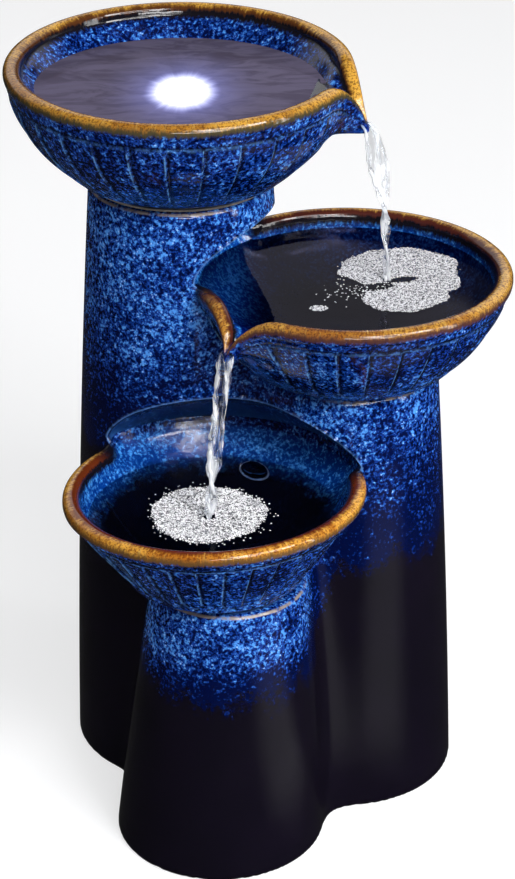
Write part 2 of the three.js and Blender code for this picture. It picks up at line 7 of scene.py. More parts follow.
import bpy
import numpy as np
import openvdb
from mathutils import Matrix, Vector


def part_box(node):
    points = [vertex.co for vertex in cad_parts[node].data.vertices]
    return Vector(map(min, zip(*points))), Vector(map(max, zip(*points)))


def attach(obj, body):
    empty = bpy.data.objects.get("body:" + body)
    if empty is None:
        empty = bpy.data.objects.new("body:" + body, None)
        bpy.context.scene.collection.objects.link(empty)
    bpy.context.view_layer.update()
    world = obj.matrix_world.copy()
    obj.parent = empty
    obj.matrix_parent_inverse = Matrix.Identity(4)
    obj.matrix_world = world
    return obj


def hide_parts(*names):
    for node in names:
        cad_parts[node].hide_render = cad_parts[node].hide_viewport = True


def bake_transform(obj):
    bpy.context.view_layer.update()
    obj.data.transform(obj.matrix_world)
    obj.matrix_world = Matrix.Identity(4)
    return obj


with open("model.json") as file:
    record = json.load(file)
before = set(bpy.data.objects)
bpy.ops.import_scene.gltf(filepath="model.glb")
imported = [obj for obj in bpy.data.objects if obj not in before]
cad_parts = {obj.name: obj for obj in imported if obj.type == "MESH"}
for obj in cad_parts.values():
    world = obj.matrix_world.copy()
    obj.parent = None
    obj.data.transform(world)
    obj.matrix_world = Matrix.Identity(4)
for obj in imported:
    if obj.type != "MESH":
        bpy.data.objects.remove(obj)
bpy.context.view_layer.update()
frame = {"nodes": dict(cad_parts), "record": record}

MM = 0.001
scene = bpy.context.scene

# ---------------------------------------------------------------- camera
CAMERA_PLACE = (-1.65, -1293.3, 899.7)
CAMERA_PITCH = 0.4818
FOCAL_LENGTH = 102.39
camera_data = bpy.data.cameras.new("camera")
camera_data.lens = FOCAL_LENGTH
camera_data.sensor_width = 36
camera_data.clip_end = 50
camera = bpy.data.objects.new("camera", camera_data)
camera.location = Vector(CAMERA_PLACE) * MM
camera.rotation_euler = (math.pi / 2 - CAMERA_PITCH, 0, 0)
scene.collection.objects.link(camera)
scene.camera = camera
scene.view_settings.view_transform = "Standard"

# ---------------------------------------------------------------- shapes shared by the ceramic pieces
# A column's radius is base - slope z - curve z squared at height z.
# Its axis drifts by lean in x and nod in y.
# The blue glaze begins at the height glaze, and is at its richest fade above it.
TALL = dict(x=-45.6, y=42.6, base=69.6, slope=0.0223, curve=6.15e-5, lean=0.0, nod=0.0033)
TALL.update(top=369.2, glaze=214, fade=95)
MIDDLE_COLUMN = dict(x=51.4, y=14.6, base=67.3, slope=0.0407, curve=6.28e-5, lean=0.0, nod=0.0064)
MIDDLE_COLUMN.update(top=266.5, glaze=163, fade=115)
FRONT = dict(x=-23.7, y=-64.3, base=61.8, slope=0.0817, curve=1.3e-4, lean=0.0366, nod=0.0258)
FRONT.update(top=166.5, glaze=112, fade=32)
COLUMNS = (TALL, MIDDLE_COLUMN, FRONT)
MELT = 26  # how far the columns flow into each other
BLOCK = dict(x=-4, y=2, radius=44, top=150, melt=20)  # fills the space between the three columns
BASE_ROUND = 1.5

# A bowl's outer side bulges by power and root, its inner side by hollow; its rim leans by tilt in x and y.
# Flutes run between ridges from the angle first_ridge on.
# The dome over a nested bowl has niche_height and power.
TOP = dict(x=-45.6, y=43.8, rim=440.0, radius=98.5, foot=371.0, foot_radius=53.0, power=2.0, root=1.1)
TOP.update(flutes=29, first_ridge=-3.2, water=426.6, hollow=1.1, tilt=(0.0, 0.036))
MIDDLE = dict(x=51.4, y=16.3, rim=326.4, radius=92.8, foot=267.0, foot_radius=53.0, power=1.55, root=1.3)
MIDDLE.update(flutes=31, first_ridge=-6.8, water=316.0, hollow=2.0, tilt=(0.0, -0.006))
MIDDLE.update(niche_height=34.5, niche_power=0.52)
LOWER = dict(x=-26.0, y=-56.5, rim=224.1, radius=85.8, foot=167.0, foot_radius=49.0, power=1.2, root=0.9)
LOWER.update(flutes=32, first_ridge=-6.65, water=204.0, hollow=2.0, tilt=(0.0366, -0.038))
LOWER.update(niche_height=40.0, niche_power=0.7)

# Turn is the way a spout points, counted from +X.
# The drops are below the rim, and start is where it leaves the side.
TOP["spout"] = dict(turn=-10, tip=107.5, half=36, inner_drop=15, tip_drop=31, under_drop=37, start=52)
MIDDLE["spout"] = dict(turn=225, tip=100.5, half=31, inner_drop=10.5, tip_drop=22, under_drop=28, start=42)

LIP = 9.5  # width of a bowl's rolled rim
SHOULDER = 4.0  # how far below the rim a bowl's side stops widening
BOWL_FLOOR = 10.0
INNER_FLOOR_RADIUS = 30.0
FOOT_STEP = 4.6  # from a bowl's foot radius in to where its side starts
HUB_RADIUS = 8.5  # the nozzle's bore in the top bowl
SPIGOT = dict(inner=38, outer=44.5, drop=9)
DRAIN = dict(x=-3.6, z=199.0, radius=7.3, flat=0.44)
NEST_REACH = 34  # how far below its rim a nested bowl's wall runs straight on into the niche
NEST_GAP = 3.6

WALL = 7.5
POCKET_WALL = 7.0
SEAT_BORE = dict(radius=45.5, low=360)  # the tall column's open top
BODY_FLOOR = 10
GLAND = dict(near=78, far=130, z=178, radius=7)
PAD_RECESS = dict(radius=9.3, depth=3.3)
LEAD_BORE = 3.6
BODY_LOW, BODY_HIGH = (-124, -130, -4), (128, 124, 376)
BODY_STEP, HOLLOW_STEP = 2.0, 4.0


def smooth(low, high, value):
    t = np.clip((value - low) / (high - low), 0, 1)
    return t * t * (3 - 2 * t)


def smooth_min(a, b, k):
    h = np.clip(k - np.abs(a - b), 0, None) / k
    return np.minimum(a, b) - h * h * k / 4


def smooth_max(a, b, k):
    return -smooth_min(-a, -b, k)


def column_radius(column, z):
    return column["base"] - column["slope"] * z - column["curve"] * z * z


def column_side(column, x, y, z):
    """How far a point is outside a column's side."""
    across = x - column["x"] - column["lean"] * z
    along = y - column["y"] - column["nod"] * z
    return np.hypot(across, along) - column_radius(column, z)


def wall_radius(bowl, z):
    """The outer radius of a bowl at a height."""
    s = np.clip((z - bowl["foot"]) / (bowl["rim"] - SHOULDER - bowl["foot"]), 0, 1)
    share = (1 - (1 - s) ** bowl["power"]) ** (1 / bowl["root"])
    return bowl["foot_radius"] + (bowl["radius"] - 1.2 - bowl["foot_radius"]) * share


def inner_radius(bowl, z):
    floor = bowl["foot"] + BOWL_FLOOR
    s = np.clip((z - floor) / (bowl["rim"] - SHOULDER - floor), 0, 1)
    share = (1 - (1 - s) ** bowl["hollow"]) ** 0.87
    return INNER_FLOOR_RADIUS + (bowl["radius"] - LIP - 0.4 - INNER_FLOOR_RADIUS) * share


# ---------------------------------------------------------------- meshes
def circle_turns(count):
    return np.arange(count) / count * 2 * math.pi


def grid_faces(rows, count, closed=True, start=0, turned=False):
    """Quads between rows of count points each; closed joins a row's ends, and turned faces the other way."""
    i = np.arange(count if closed else count - 1)[None, :]
    a = start + np.arange(rows - 1)[:, None] * count + i
    b = start + np.arange(rows - 1)[:, None] * count + (i + 1) % count
    corners = [a, b, b + count, a + count] if turned else [a, a + count, b + count, b]
    return np.stack(corners, 2).reshape(-1, 4).tolist()


def make_object(name, points, faces, shade_smooth=True):
    mesh = bpy.data.meshes.new(name)
    mesh.from_pydata((np.asarray(points) * MM).tolist(), [], faces)
    mesh.validate()
    mesh.polygons.foreach_set("use_smooth", [shade_smooth] * len(mesh.polygons))
    made = bpy.data.objects.new(name, mesh)
    scene.collection.objects.link(made)
    return made


def points_of(made):
    co = np.zeros(len(made.data.vertices) * 3, np.float64)
    made.data.vertices.foreach_get("co", co)
    return co.reshape(-1, 3) / MM


def paint(made, name, values):
    """A number for each vertex, for the materials to read."""
    attribute = made.data.attributes.new(name, "FLOAT", "POINT")
    attribute.data.foreach_set("value", np.asarray(values, np.float32))


def cut(made, *cutters):
    """Takes the cutters away from a mesh for good."""
    for cutter in cutters:
        modifier = made.modifiers.new("cut", "BOOLEAN")
        modifier.solver = "MANIFOLD"
        modifier.object = cutter
    graph = bpy.context.evaluated_depsgraph_get()
    final = bpy.data.meshes.new_from_object(made.evaluated_get(graph))
    final.materials.clear()
    final.polygons.foreach_set("material_index", [0] * len(final.polygons))
    made.modifiers.clear()
    made.data = final
    for cutter in cutters:
        bpy.data.objects.remove(cutter)
    return made


def rod(low, high, radius, sides=40, flat=1.0):
    """A closed bar between two points, for cutting holes; flat below 1 makes it oval."""
    low, high = np.array(low, float), np.array(high, float)
    along = (high - low) / np.linalg.norm(high - low)
    side = np.cross(along, (1, 0, 0) if abs(along[0]) < 0.7 else (0, 1, 0))
    side /= np.linalg.norm(side)
    up = np.cross(along, side)
    turns = circle_turns(sides)
    circle = radius * (flat * np.cos(turns)[:, None] * side + np.sin(turns)[:, None] * up)
    points = np.vstack([low + circle, high + circle])
    walls = [(i, (i + 1) % sides, sides + (i + 1) % sides, sides + i) for i in range(sides)]
    caps = [tuple(reversed(range(sides))), tuple(range(sides, 2 * sides))]
    return make_object("bar", points, walls + caps)


def mesh_of_field(field, low, high, step):
    """Points and quads of the surface where a field is zero; the field is negative inside."""
    axes = [np.arange(a, b + step, step, dtype=np.float32) for a, b in zip(low, high)]
    x, y, z = np.meshgrid(*axes, indexing="ij", sparse=True)
    values = np.asarray(field(x, y, z), np.float32)
    grid = openvdb.FloatGrid()
    grid.copyFromArray(np.ascontiguousarray(values))
    points, quads = grid.convertToQuads(isovalue=0.0)
    return np.asarray(points, np.float64) * step + np.array(low), np.asarray(quads)[:, ::-1].tolist()


def slopes(field, p, reach=0.4):
    """The gradient of a field at each point."""
    parts = []
    for axis in range(3):
        move = np.zeros(3)
        move[axis] = reach
        ahead, behind = p + move, p - move
        parts.append((field(*ahead.T) - field(*behind.T)) / (2 * reach))
    return np.stack(parts, 1)


def settle(points, field, rounds=3):
    """Moves points onto the surface of a field."""
    for _ in range(rounds):
        g = slopes(field, points)
        length = np.maximum((g * g).sum(1), 1e-6)
        step = np.clip(field(*points.T) / length, -1.5, 1.5)
        points = points - step[:, None] * g
    return points


def settle_on_edge(points, first, second, reach):
    """Moves the points near the line where two surfaces cross onto that line, by Newton's method for both."""
    near = (np.abs(first(*points.T)) < reach) & (np.abs(second(*points.T)) < reach)
    moved = points[near]
    for _ in range(5):
        ga, gb = slopes(first, moved), slopes(second, moved)
        fa, fb = first(*moved.T), second(*moved.T)
        aa, bb, ab = (ga * ga).sum(1), (gb * gb).sum(1), (ga * gb).sum(1)
        det = np.maximum(aa * bb - ab * ab, 1e-3)
        u, v = (bb * fa - ab * fb) / det, (aa * fb - ab * fa) / det
        moved = moved - np.clip(u, -2, 2)[:, None] * ga - np.clip(v, -2, 2)[:, None] * gb
    good = np.linalg.norm(moved - points[near], axis=1) < reach * 0.95
    points[np.flatnonzero(near)[good]] = moved[good]
    return points


# ---------------------------------------------------------------- the column body
def outer_field(x, y, z):
    """Three tapered columns melted into each other."""
    sides = [smooth_max(column_side(c, x, y, z), z - c["top"], 4) for c in COLUMNS]
    around = np.hypot(x - BLOCK["x"], y - BLOCK["y"]) - BLOCK["radius"]
    block = smooth_max(around, z - BLOCK["top"], BLOCK["melt"])
    merged = smooth_min(sides[0], sides[1], MELT)
    merged = smooth_min(merged, sides[2], MELT)
    merged = smooth_min(merged, block, BLOCK["melt"])
    return smooth_max(merged, 0.3 - z, BASE_ROUND)


def niche_field(bowl, x, y, z, grown=0.0):
    """The space that a nested bowl takes, and the dome above its rim."""
    r = np.hypot(x - bowl["x"], y - bowl["y"])
    below = z - bowl["rim"]
    inset = -2.4 + 0.4 * smooth(-9, -3, below) + 2.0 * smooth(-3, -0.4, below)
    wide = NEST_GAP * smooth(-1, -10, outer_field(x, y, z)) * smooth(-NEST_REACH - 8, -NEST_REACH, below)
    side = wall_radius(bowl, z) + np.minimum(inset + wide, 1.2) + grown
    within = np.maximum(r - side, bowl["foot"] - grown - z)
    rise = np.clip(z - bowl["rim"], 0, None) / (bowl["niche_height"] + grown)
    across = r / (bowl["radius"] + grown)
    exponent = 1 / bowl["niche_power"]
    form = rise**exponent + across**2 - 1
    steep = exponent * np.maximum(rise, 0.02) ** (exponent - 1) / bowl["niche_height"]
    dome = form / np.sqrt((2 * across / bowl["radius"]) ** 2 + steep**2)
    return np.where(z > bowl["rim"], dome, within)


def niches(x, y, z, grown=0.0):
    return np.minimum(niche_field(MIDDLE, x, y, z, grown), niche_field(LOWER, x, y, z, grown))


def body_field(x, y, z):
    return np.maximum(outer_field(x, y, z), -niches(x, y, z))


def cavity_field(x, y, z):
    """The hollow inside the columns: a wall's thickness in from the outside and from both pockets."""
    hollow = outer_field(x, y, np.minimum(z, SEAT_BORE["low"] + 6)) + WALL
    bore = np.hypot(x - TALL["x"], y - TALL["y"]) - SEAT_BORE["radius"]
    hollow = np.where(z > SEAT_BORE["low"], bore, hollow)
    return np.maximum(np.maximum(hollow, BODY_FLOOR - z), -niches(x, y, z, POCKET_WALL))


def drain_rod(near, far):
    """A bar along the drain hole, from and to distances behind the lower bowl's axis."""
    ends = [(DRAIN["x"], LOWER["y"] + away, DRAIN["z"]) for away in (near, far)]
    return rod(*ends, DRAIN["radius"], flat=DRAIN["flat"])


def make_body():
    points, quads = mesh_of_field(body_field, BODY_LOW, BODY_HIGH, BODY_STEP)
    points = settle(points, body_field)
    points = settle_on_edge(points, outer_field, niches, 2.0)
    made = make_object("glazed_columns", points, quads)
    above = (*BODY_HIGH[:2], BODY_HIGH[2] + HOLLOW_STEP)
    hollow = make_object("hollow", *mesh_of_field(cavity_field, BODY_LOW, above, HOLLOW_STEP))
    gland_ends = [(TALL["x"], y, GLAND["z"]) for y in (GLAND["near"], GLAND["far"])]
    cutters = [hollow, rod(*gland_ends, GLAND["radius"]), drain_rod(55, 105)]
    for name in sorted(frame["nodes"]):
        if name.startswith("foot_pad"):
            low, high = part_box(name)
            middle = (low + high) / 2 / MM
            ends = [(middle.x, middle.y, z) for z in (-3, PAD_RECESS["depth"])]
            cutters.append(rod(*ends, PAD_RECESS["radius"], 32))
    return cut(made, *cutters)


body = make_body()


def paint_body(made):
    """What the column glaze needs to know: height over the blue's edge, niches, arches and seats."""
    x, y, z = points_of(made).T
    near = np.stack([np.exp(-np.clip(column_side(c, x, y, z), -30, 60) / 9) for c in COLUMNS])
    line = sum(w * c["glaze"] for w, c in zip(near, COLUMNS)) / near.sum(0)
    fade = sum(w * c["fade"] for w, c in zip(near, COLUMNS)) / near.sum(0)
    paint(made, "lift", z - line)
    paint(made, "richness", np.clip((z - line) / fade, -1, 2))
    # Where the niche is painted paler: painted reflection inside its dome.
    inside_niche = smooth(1.5, -1.5, np.abs(niches(x, y, z)) - 0.6) * smooth(-1.2, -3.5, outer_field(x, y, z))
    paint(made, "niche", inside_niche)
    # Where the arch edges are painted paler: glaze thinning on the edge, with a painted highlight.
    arch = np.exp(-((niches(x, y, z) / 1.3) ** 2)) * np.exp(-((outer_field(x, y, z) / 1.3) ** 2))
    tops = np.zeros(len(z))
    for c in COLUMNS:
        free = np.min([column_side(other, x, y, z) for other in COLUMNS if other is not c], axis=0)
        seat = smooth(9, 4, np.abs(z - c["top"])) * smooth(9, 4, np.abs(column_side(c, x, y, z)))
        tops += seat * smooth(20, 40, free)
    paint(made, "edge", np.clip(arch, 0, 1))
    paint(made, "worn", np.clip(tops, 0, 1))


paint_body(body)

# ---------------------------------------------------------------- bowls
# Where the points of one flute lie across it: close together at its ridge.
FLUTE_SHARES = np.array(
    [0, 0.02, 0.045, 0.075, 0.11, 0.15, 0.2, 0.26, 0.33, 0.4]
    + [0.48, 0.56, 0.64, 0.71, 0.77, 0.83, 0.88, 0.92, 0.955, 0.98]
)
GROOVE = 13.0  # below the rim: the line where the flutes begin
FLUTE_DEPTH = 1.5
SIDE_POINTS, LIP_POINTS = 74, 20
SPLINE_STEPS = 24


def spline(knots, count):
    """Rows on a smooth curve through knots, evenly apart by the distance over their first three columns."""
    knots = np.array(knots, float)
    padded = np.vstack([2 * knots[0] - knots[1], knots, 2 * knots[-1] - knots[-2]])
    t = np.linspace(0, 1, SPLINE_STEPS, endpoint=False)[:, None]
    dense = []
    for a, b, c, d in zip(padded, padded[1:], padded[2:], padded[3:]):
        bend = (2 * a - 5 * b + 4 * c - d) * t**2 + (3 * b - a - 3 * c + d) * t**3
        dense.append(0.5 * (2 * b + (c - a) * t + bend))
    dense = np.vstack([*dense, knots[-1:]])
    run = np.concatenate([[0], np.cumsum(np.linalg.norm(np.diff(dense[:, :3], axis=0), axis=1))])
    wanted = np.linspace(0, run[-1], count)
    return np.stack([np.interp(wanted, run, column) for column in dense.T], 1)


def under_rows(bowl):
    """The underside as (radius, z), from the hub out to the foot."""
    foot, foot_radius = bowl["foot"], bowl["foot_radius"]
    if bowl is TOP:
        inner, outer, low = SPIGOT["inner"], SPIGOT["outer"], foot - SPIGOT["drop"]
        plate = [(HUB_RADIUS, foot + 3), (inner, foot + 3)]
        return [*plate, (inner, low), (outer, low), (outer, foot), (foot_radius - FOOT_STEP, foot)]
    recess = [(0.05, foot + 3), (foot_radius - 13, foot + 3), (foot_radius - 11, foot + 0.3)]
    return [*recess, (foot_radius - FOOT_STEP, foot + 0.3)]


def bowl_rows(bowl, inner_count):
    """The section of a bowl as rows of (radius, z): underside, outer side, lip, inner side and floor."""
    rim, radius, foot = bowl["rim"], bowl["radius"], bowl["foot"]
    neck = rim - 8.5
    wall = [(wall_radius(bowl, z), z) for z in np.linspace(foot + 4.0, neck, 60)]
    first = bowl["foot_radius"] - FOOT_STEP
    side = spline([(first, foot + 0.3), (first + 0.9, foot + 1.6), *wall[::2], wall[-1]], SIDE_POINTS)
    roll = [(0.5, 7), (0, 5), (0.15, 3), (1.2, 1.2), (3, 0.25), (5, 0), (7, 0.5), (8.7, 1.7)]
    roll += [(LIP, 3.6), (LIP + 0.5, 6)]
    lip = spline([(wall[-1][0], neck), *[(radius - inward, rim - drop) for inward, drop in roll]], LIP_POINTS)
    floor = foot + BOWL_FLOOR
    inside = [(inner_radius(bowl, z), z) for z in np.linspace(rim - 6, floor + 0.5, 40)]
    inside[0] = tuple(lip[-1])
    inner = spline([*inside[::2], (inside[-1][0] - 5, floor)], inner_count)
    hub = HUB_RADIUS if bowl is TOP else 0.05
    bottom = [(reach, floor) for reach in (22, 14, hub)]
    return np.array(under_rows(bowl)), side, lip[1:], inner[1:], np.array(bottom)


def spout_rows(bowl, side, lip, inner):
    """The same rows as they run at the middle of the spout."""
    rim, radius, spout = bowl["rim"], bowl["radius"], bowl["spout"]
    tip, start, under_z = spout["tip"], rim - spout["start"], rim - spout["under_drop"]
    stays = side[side[:, 1] <= start]
    under_knots = [
        tuple(stays[-1]),
        (wall_radius(bowl, start + 7), start + 6.5),
        (wall_radius(bowl, under_z - 4) + 2, under_z - 1.5),
        (tip - 4, under_z + 0.4),
        (tip - 0.5, under_z + 1.2),
    ]
    under = spline(under_knots, len(side) - len(stays) + 1)[1:]
    tip_z = rim - spout["tip_drop"]
    nose_knots = [
        tuple(under[-1]),
        (tip + 0.6, under_z + 2.6),
        (tip, tip_z - 1.2),
        (tip - 2, tip_z),
        (tip - 7, tip_z + 2.6),
    ]
    nose = spline(nose_knots, len(lip) + 1)[1:]
    deep = rim - spout["inner_drop"]
    moving = int((inner[:, 1] >= deep - 12).sum())
    channel_knots = [
        tuple(nose[-1]),
        (radius - 8, deep - 3.6),
        (radius - 14, deep - 1),
        (radius - 18, deep - 0.6),
        (inner_radius(bowl, deep - 4) - 1, deep - 4.4),
        tuple(inner[moving]),
    ]
    channel = spline(channel_knots, moving + 1)[1:]
    return np.vstack([stays, under]), nose, np.vstack([channel, inner[moving:]])[: len(inner)]


class Section:
    """A bowl's rows in one run, the index where each part of it begins, and the same rows at the spout."""

    def __init__(self, bowl, inner_count):
        under, side, lip, inner, bottom = bowl_rows(bowl, inner_count)
        self.base = np.vstack([under, side[1:], lip, inner, bottom])
        self.index = np.arange(len(self.base))
        self.side = len(under)
        self.lip = self.side + len(side) - 1
        self.inner = self.lip + len(lip)
        self.bottom = self.inner + len(inner)
        self.crest = self.lip + int(np.argmax(lip[:, 1]))
        self.nest_end = self.inner + int((inner[:, 1] > bowl["rim"] - NEST_REACH).sum())
        self.below = bowl["rim"] - self.base[:, 1]
        self.inner_count = inner_count
        if "spout" in bowl:
            side, lip, inner = spout_rows(bowl, side, lip, inner)
            self.at_spout = np.vstack([under, side[1:], lip, inner, bottom])


def draw_spout(bowl, section, turns, r, z):
    """Pulls the rows out to the spout; gives r, z, the sideways move and each turn's share of the spout."""
    spout, index, target = bowl["spout"], section.index, section.at_spout
    away = (turns - (spout["turn"] + 90) + 180) % 360 - 180
    across = bowl["radius"] * np.radians(away)
    t = np.clip(np.abs(across) / spout["half"], 0, 1)
    soft = 0.5 * (1 + np.cos(math.pi * t))
    share = 0.74 * soft**1.15 + 0.26 * np.exp(-((t / 0.2) ** 2))
    r = r + (target[:, :1] - r) * share
    z = z + (target[:, 1:] - z) * share
    pull = np.where(t < 1, np.sign(across) * spout["half"] * t**1.75 - across, 0)
    fade_out = smooth(section.lip - 34, section.lip, index)
    fade_in = smooth(section.inner + section.inner_count * 0.55, section.inner, index)
    hold = np.where(index < section.lip, fade_out, np.where(index >= section.inner, fade_in, 1))
    return r, z, hold[:, None] * pull[None, :], share


def run_into_niche(bowl, section, nested, r, z):
    """Inside a niche there is no lip: the inner wall runs straight on into the dome."""
    index, crest, end = section.index, section.crest, section.nest_end
    neck_r, neck_z = section.base[section.lip - 1]
    climb = np.clip((index - section.lip + 1) / (crest - section.lip + 1), 0, 1)
    fall = np.clip((index - crest) / (end - crest), 0, 1)
    brink_r, brink_z = bowl["radius"] - 0.1, bowl["rim"] + 0.3
    rising, falling = neck_z + (brink_z - neck_z) * climb, brink_z + (section.base[end, 1] - brink_z) * fall
    flat_z = np.where(index <= crest, rising, falling)
    thin = wall_radius(bowl, flat_z) - 0.8
    flare = thin + (brink_r - thin) * smooth(-5, 0.3, flat_z - bowl["rim"])
    share = smooth(-NEST_REACH, -6, flat_z - bowl["rim"])
    flat_r = inner_radius(bowl, flat_z) + (flare - inner_radius(bowl, flat_z)) * share
    flat_r = np.where(index <= crest, neck_r + (brink_r - neck_r) * climb, flat_r)
    straightened = ((index >= section.lip) & (index < end))[:, None] * nested[None, :]
    return r + (flat_r[:, None] - r) * straightened, z + (flat_z[:, None] - z) * straightened


def flute_relief(bowl, section, spout_share):
    """How deep the outer side is dented; how strongly each point is painted paler, on the ridge lines as
    glaze thinning with a painted highlight and along the flutes' tops as a painted highlight; and how
    strongly it is painted darker, as pooled glaze in each flute and as painted shade in the groove under the
    lip.
    """
    u = np.tile(FLUTE_SHARES, bowl["flutes"])[None, :]
    index, below = section.index, section.below[:, None]
    is_side = (index >= section.side) & (index < section.lip + 3)
    width = 2 * math.pi / bowl["flutes"] * section.base[:, :1]
    rise = section.base[:, 1:] - bowl["foot"]
    curved_end = 7.0 + 6.0 * np.abs(2 * u - 1) ** 3
    lower_end = smooth(curved_end - 3.5, curved_end + 3.5, rise)
    strength = lower_end * smooth(GROOVE + 0.9, GROOVE + 2.3, below)
    relief = np.where(u < 0.05, u / 0.05, (1 - (u - 0.05) / 0.95) ** 1.25)
    relief = 0.8 * relief + 0.3 * np.sin(math.pi * u)
    groove = np.exp(-(((below - GROOVE) / 1.0) ** 2))
    keep = is_side[:, None] * (1 - smooth(0.05, 0.5, spout_share))[None, :]
    dent = keep * (FLUTE_DEPTH * relief * strength + 0.75 * groove)
    to_ridge = np.minimum(u, 1 - u)
    # Ridge lines: glaze thinning on the sharp edge, with a painted highlight.
    ridge = keep * strength * np.exp(-((to_ridge * width / 0.32) ** 2))
    ridge = ridge + 0.3 * keep * np.exp(-(((rise - curved_end) / 0.8) ** 2))
    # A painted highlight along the flutes' tops.
    top_edge = keep * np.exp(-(((below - GROOVE - 1.6) / 0.5) ** 2)) * smooth(0.02, 0.08, to_ridge)
    # Pooled glaze in each flute, and painted shade in the groove under the lip.
    pool = keep * (strength * np.exp(-(((u - 0.1) * width / 1.3) ** 2)) + 0.9 * groove)
    return dent, np.clip(ridge + 0.8 * top_edge, 0, 1), np.clip(pool, 0, 1)


def round_drain(section, x, y, z):
    """Draws the lower bowl's inner wall back around the drain hole, for a rounded edge."""
    apart = np.hypot(x - DRAIN["x"], (z - DRAIN["z"]) / DRAIN["flat"]) - DRAIN["radius"]
    inside = (section.index >= section.inner) & (section.index < section.bottom)
    curl = 1 - np.sqrt(np.clip(1 - (1 - np.clip(apart, 0, 3) / 3) ** 2, 0, 1))
    return y + inside[:, None] * (y > LOWER["y"]) * np.where(apart < 3, 2.2 * curl, 0)


def make_bowl(name, bowl, inner_count):
    section = Section(bowl, inner_count)
    flutes = np.arange(bowl["flutes"])[:, None] + FLUTE_SHARES[None, :]
    turns = (bowl["first_ridge"] + 360 / bowl["flutes"] * flutes).ravel()
    rows, count = len(section.base), len(turns)
    rad = np.radians(turns)
    out_x, out_y = np.sin(rad), -np.cos(rad)

    r = np.repeat(section.base[:, :1], count, 1)
    z = np.repeat(section.base[:, 1:], count, 1)
    lateral, spout_share = np.zeros_like(r), np.zeros(count)
    if "spout" in bowl:
        r, z, lateral, spout_share = draw_spout(bowl, section, turns, r, z)
    ring_x, ring_y = bowl["x"] + bowl["radius"] * out_x, bowl["y"] + bowl["radius"] * out_y
    outside = outer_field(ring_x, ring_y, np.full(count, bowl["rim"]))
    nested = smooth(7.0, -9.0, outside) if "niche_height" in bowl else np.zeros(count)
    r, z = run_into_niche(bowl, section, nested, r, z)
    dent, ridge, pool = flute_relief(bowl, section, spout_share)
    r = r - dent

    x = bowl["x"] + r * out_x + lateral * np.cos(rad)
    y = bowl["y"] + r * out_y + lateral * np.sin(rad)
    share = smooth(bowl["foot"] + 4, bowl["rim"] - 12, z) * (1 - nested)[None, :]
    z = z + share * (bowl["tilt"][0] * (x - bowl["x"]) + bowl["tilt"][1] * (y - bowl["y"]))
    if bowl is LOWER:
        y = round_drain(section, x, y, z)

    points = np.stack([x, y, z], 2).reshape(-1, 3)
    faces = grid_faces(rows, count, turned=True)
    last = (rows - 1) * count
    centres = []
    if bowl is TOP:
        faces += [(last + i, last + (i + 1) % count, (i + 1) % count, i) for i in range(count)]
    else:
        centres = [[bowl["x"], bowl["y"], bowl["foot"] + up] for up in (3, BOWL_FLOOR)]
        points = np.vstack([points, *centres])
        faces += [((i + 1) % count, i, len(points) - 2) for i in range(count)]
        faces += [(last + i, last + (i + 1) % count, len(points) - 1) for i in range(count)]
    made = make_object(name, points, faces)

    # What the glaze needs to know: how far from the lip's crest, how deep, where the relief breaks it.
    steps = np.linalg.norm(np.diff(section.base, axis=0), axis=1)
    lengths = np.concatenate([[0], np.cumsum(steps)])
    from_crest = lengths[section.crest] - lengths
    is_floor, is_lip_or_inner = section.index >= section.bottom, section.index >= section.lip
    values = {
        "crest": np.where(is_floor, -200, from_crest)[:, None],
        "sink": np.where(is_lip_or_inner, section.below, 0)[:, None],
        "ridge": ridge,
        "pool": pool,
        "sunk": np.clip(outside, -60, 60)[None, :] if "niche_height" in bowl else 60.0,
        "ring_x": bowl["radius"] * out_x[None, :] * MM,
        "ring_y": bowl["radius"] * out_y[None, :] * MM,
        "beak": spout_share[None, :],
    }
    for key, value in values.items():
        flat = np.broadcast_to(value, (rows, count)).ravel()
        paint(made, key, np.concatenate([flat, np.repeat(flat[-1], len(centres))]))
    return made


top_bowl = make_bowl("glazed_top_bowl", TOP, 34)
middle_bowl = make_bowl("glazed_middle_bowl", MIDDLE, 30)
lower_bowl = make_bowl("glazed_lower_bowl", LOWER, 44)
grommet_low, grommet_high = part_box("lead_grommet")
lead = (grommet_low + grommet_high) / 2 / MM
cut(top_bowl, rod((lead.x, lead.y, 360), (lead.x, lead.y, 390), LEAD_BORE, 24))
cut(lower_bowl, drain_rod(30, 95))


# ---------------------------------------------------------------- water
def water_disc(name, bowl, radius, ripple, centre, rings=70, spokes=160):
    """A still surface with low ripples around a centre, wide enough to meet the bowl's wall."""
    share = np.linspace(0, 1, rings) ** 0.8
    turns = circle_turns(spokes)
    r = radius * share[1:, None]
    x, y = bowl["x"] + r * np.cos(turns), bowl["y"] + r * np.sin(turns)
    z = bowl["water"] + ripple(x - centre[0], y - centre[1])
    points = np.vstack([[bowl["x"], bowl["y"], bowl["water"]], np.stack([x, y, z], 2).reshape(-1, 3)])
    fan = [(0, 1 + i, 1 + (i + 1) % spokes) for i in range(spokes)]
    return make_object(name, points, fan + grid_faces(rings - 1, spokes, start=1))


def top_ripple(x, y):
    r = np.hypot(x, y)
    rings = 0.05 * np.exp(-r / 60) * np.cos(r / 1.9 + 1.2 * np.sin(2 * np.arctan2(y, x)))
    swell = 0.05 * np.sin(x / 14 + 1.3 * np.sin(y / 17)) * np.cos(y / 10)
    return rings + swell


def middle_ripple(x, y):
    r = np.hypot(x, y)
    return 0.05 * np.exp(-r / 30) * np.cos(r / 2.2) + 0.03 * np.sin(x / 12 + np.sin(y / 11)) * np.cos(y / 13)


def lower_ripple(x, y):
    r = np.hypot(x, y)
    return 0.06 * np.exp(-r / 25) * np.cos(r / 2.0) + 0.02 * np.sin(x / 9) * np.cos(y / 10)


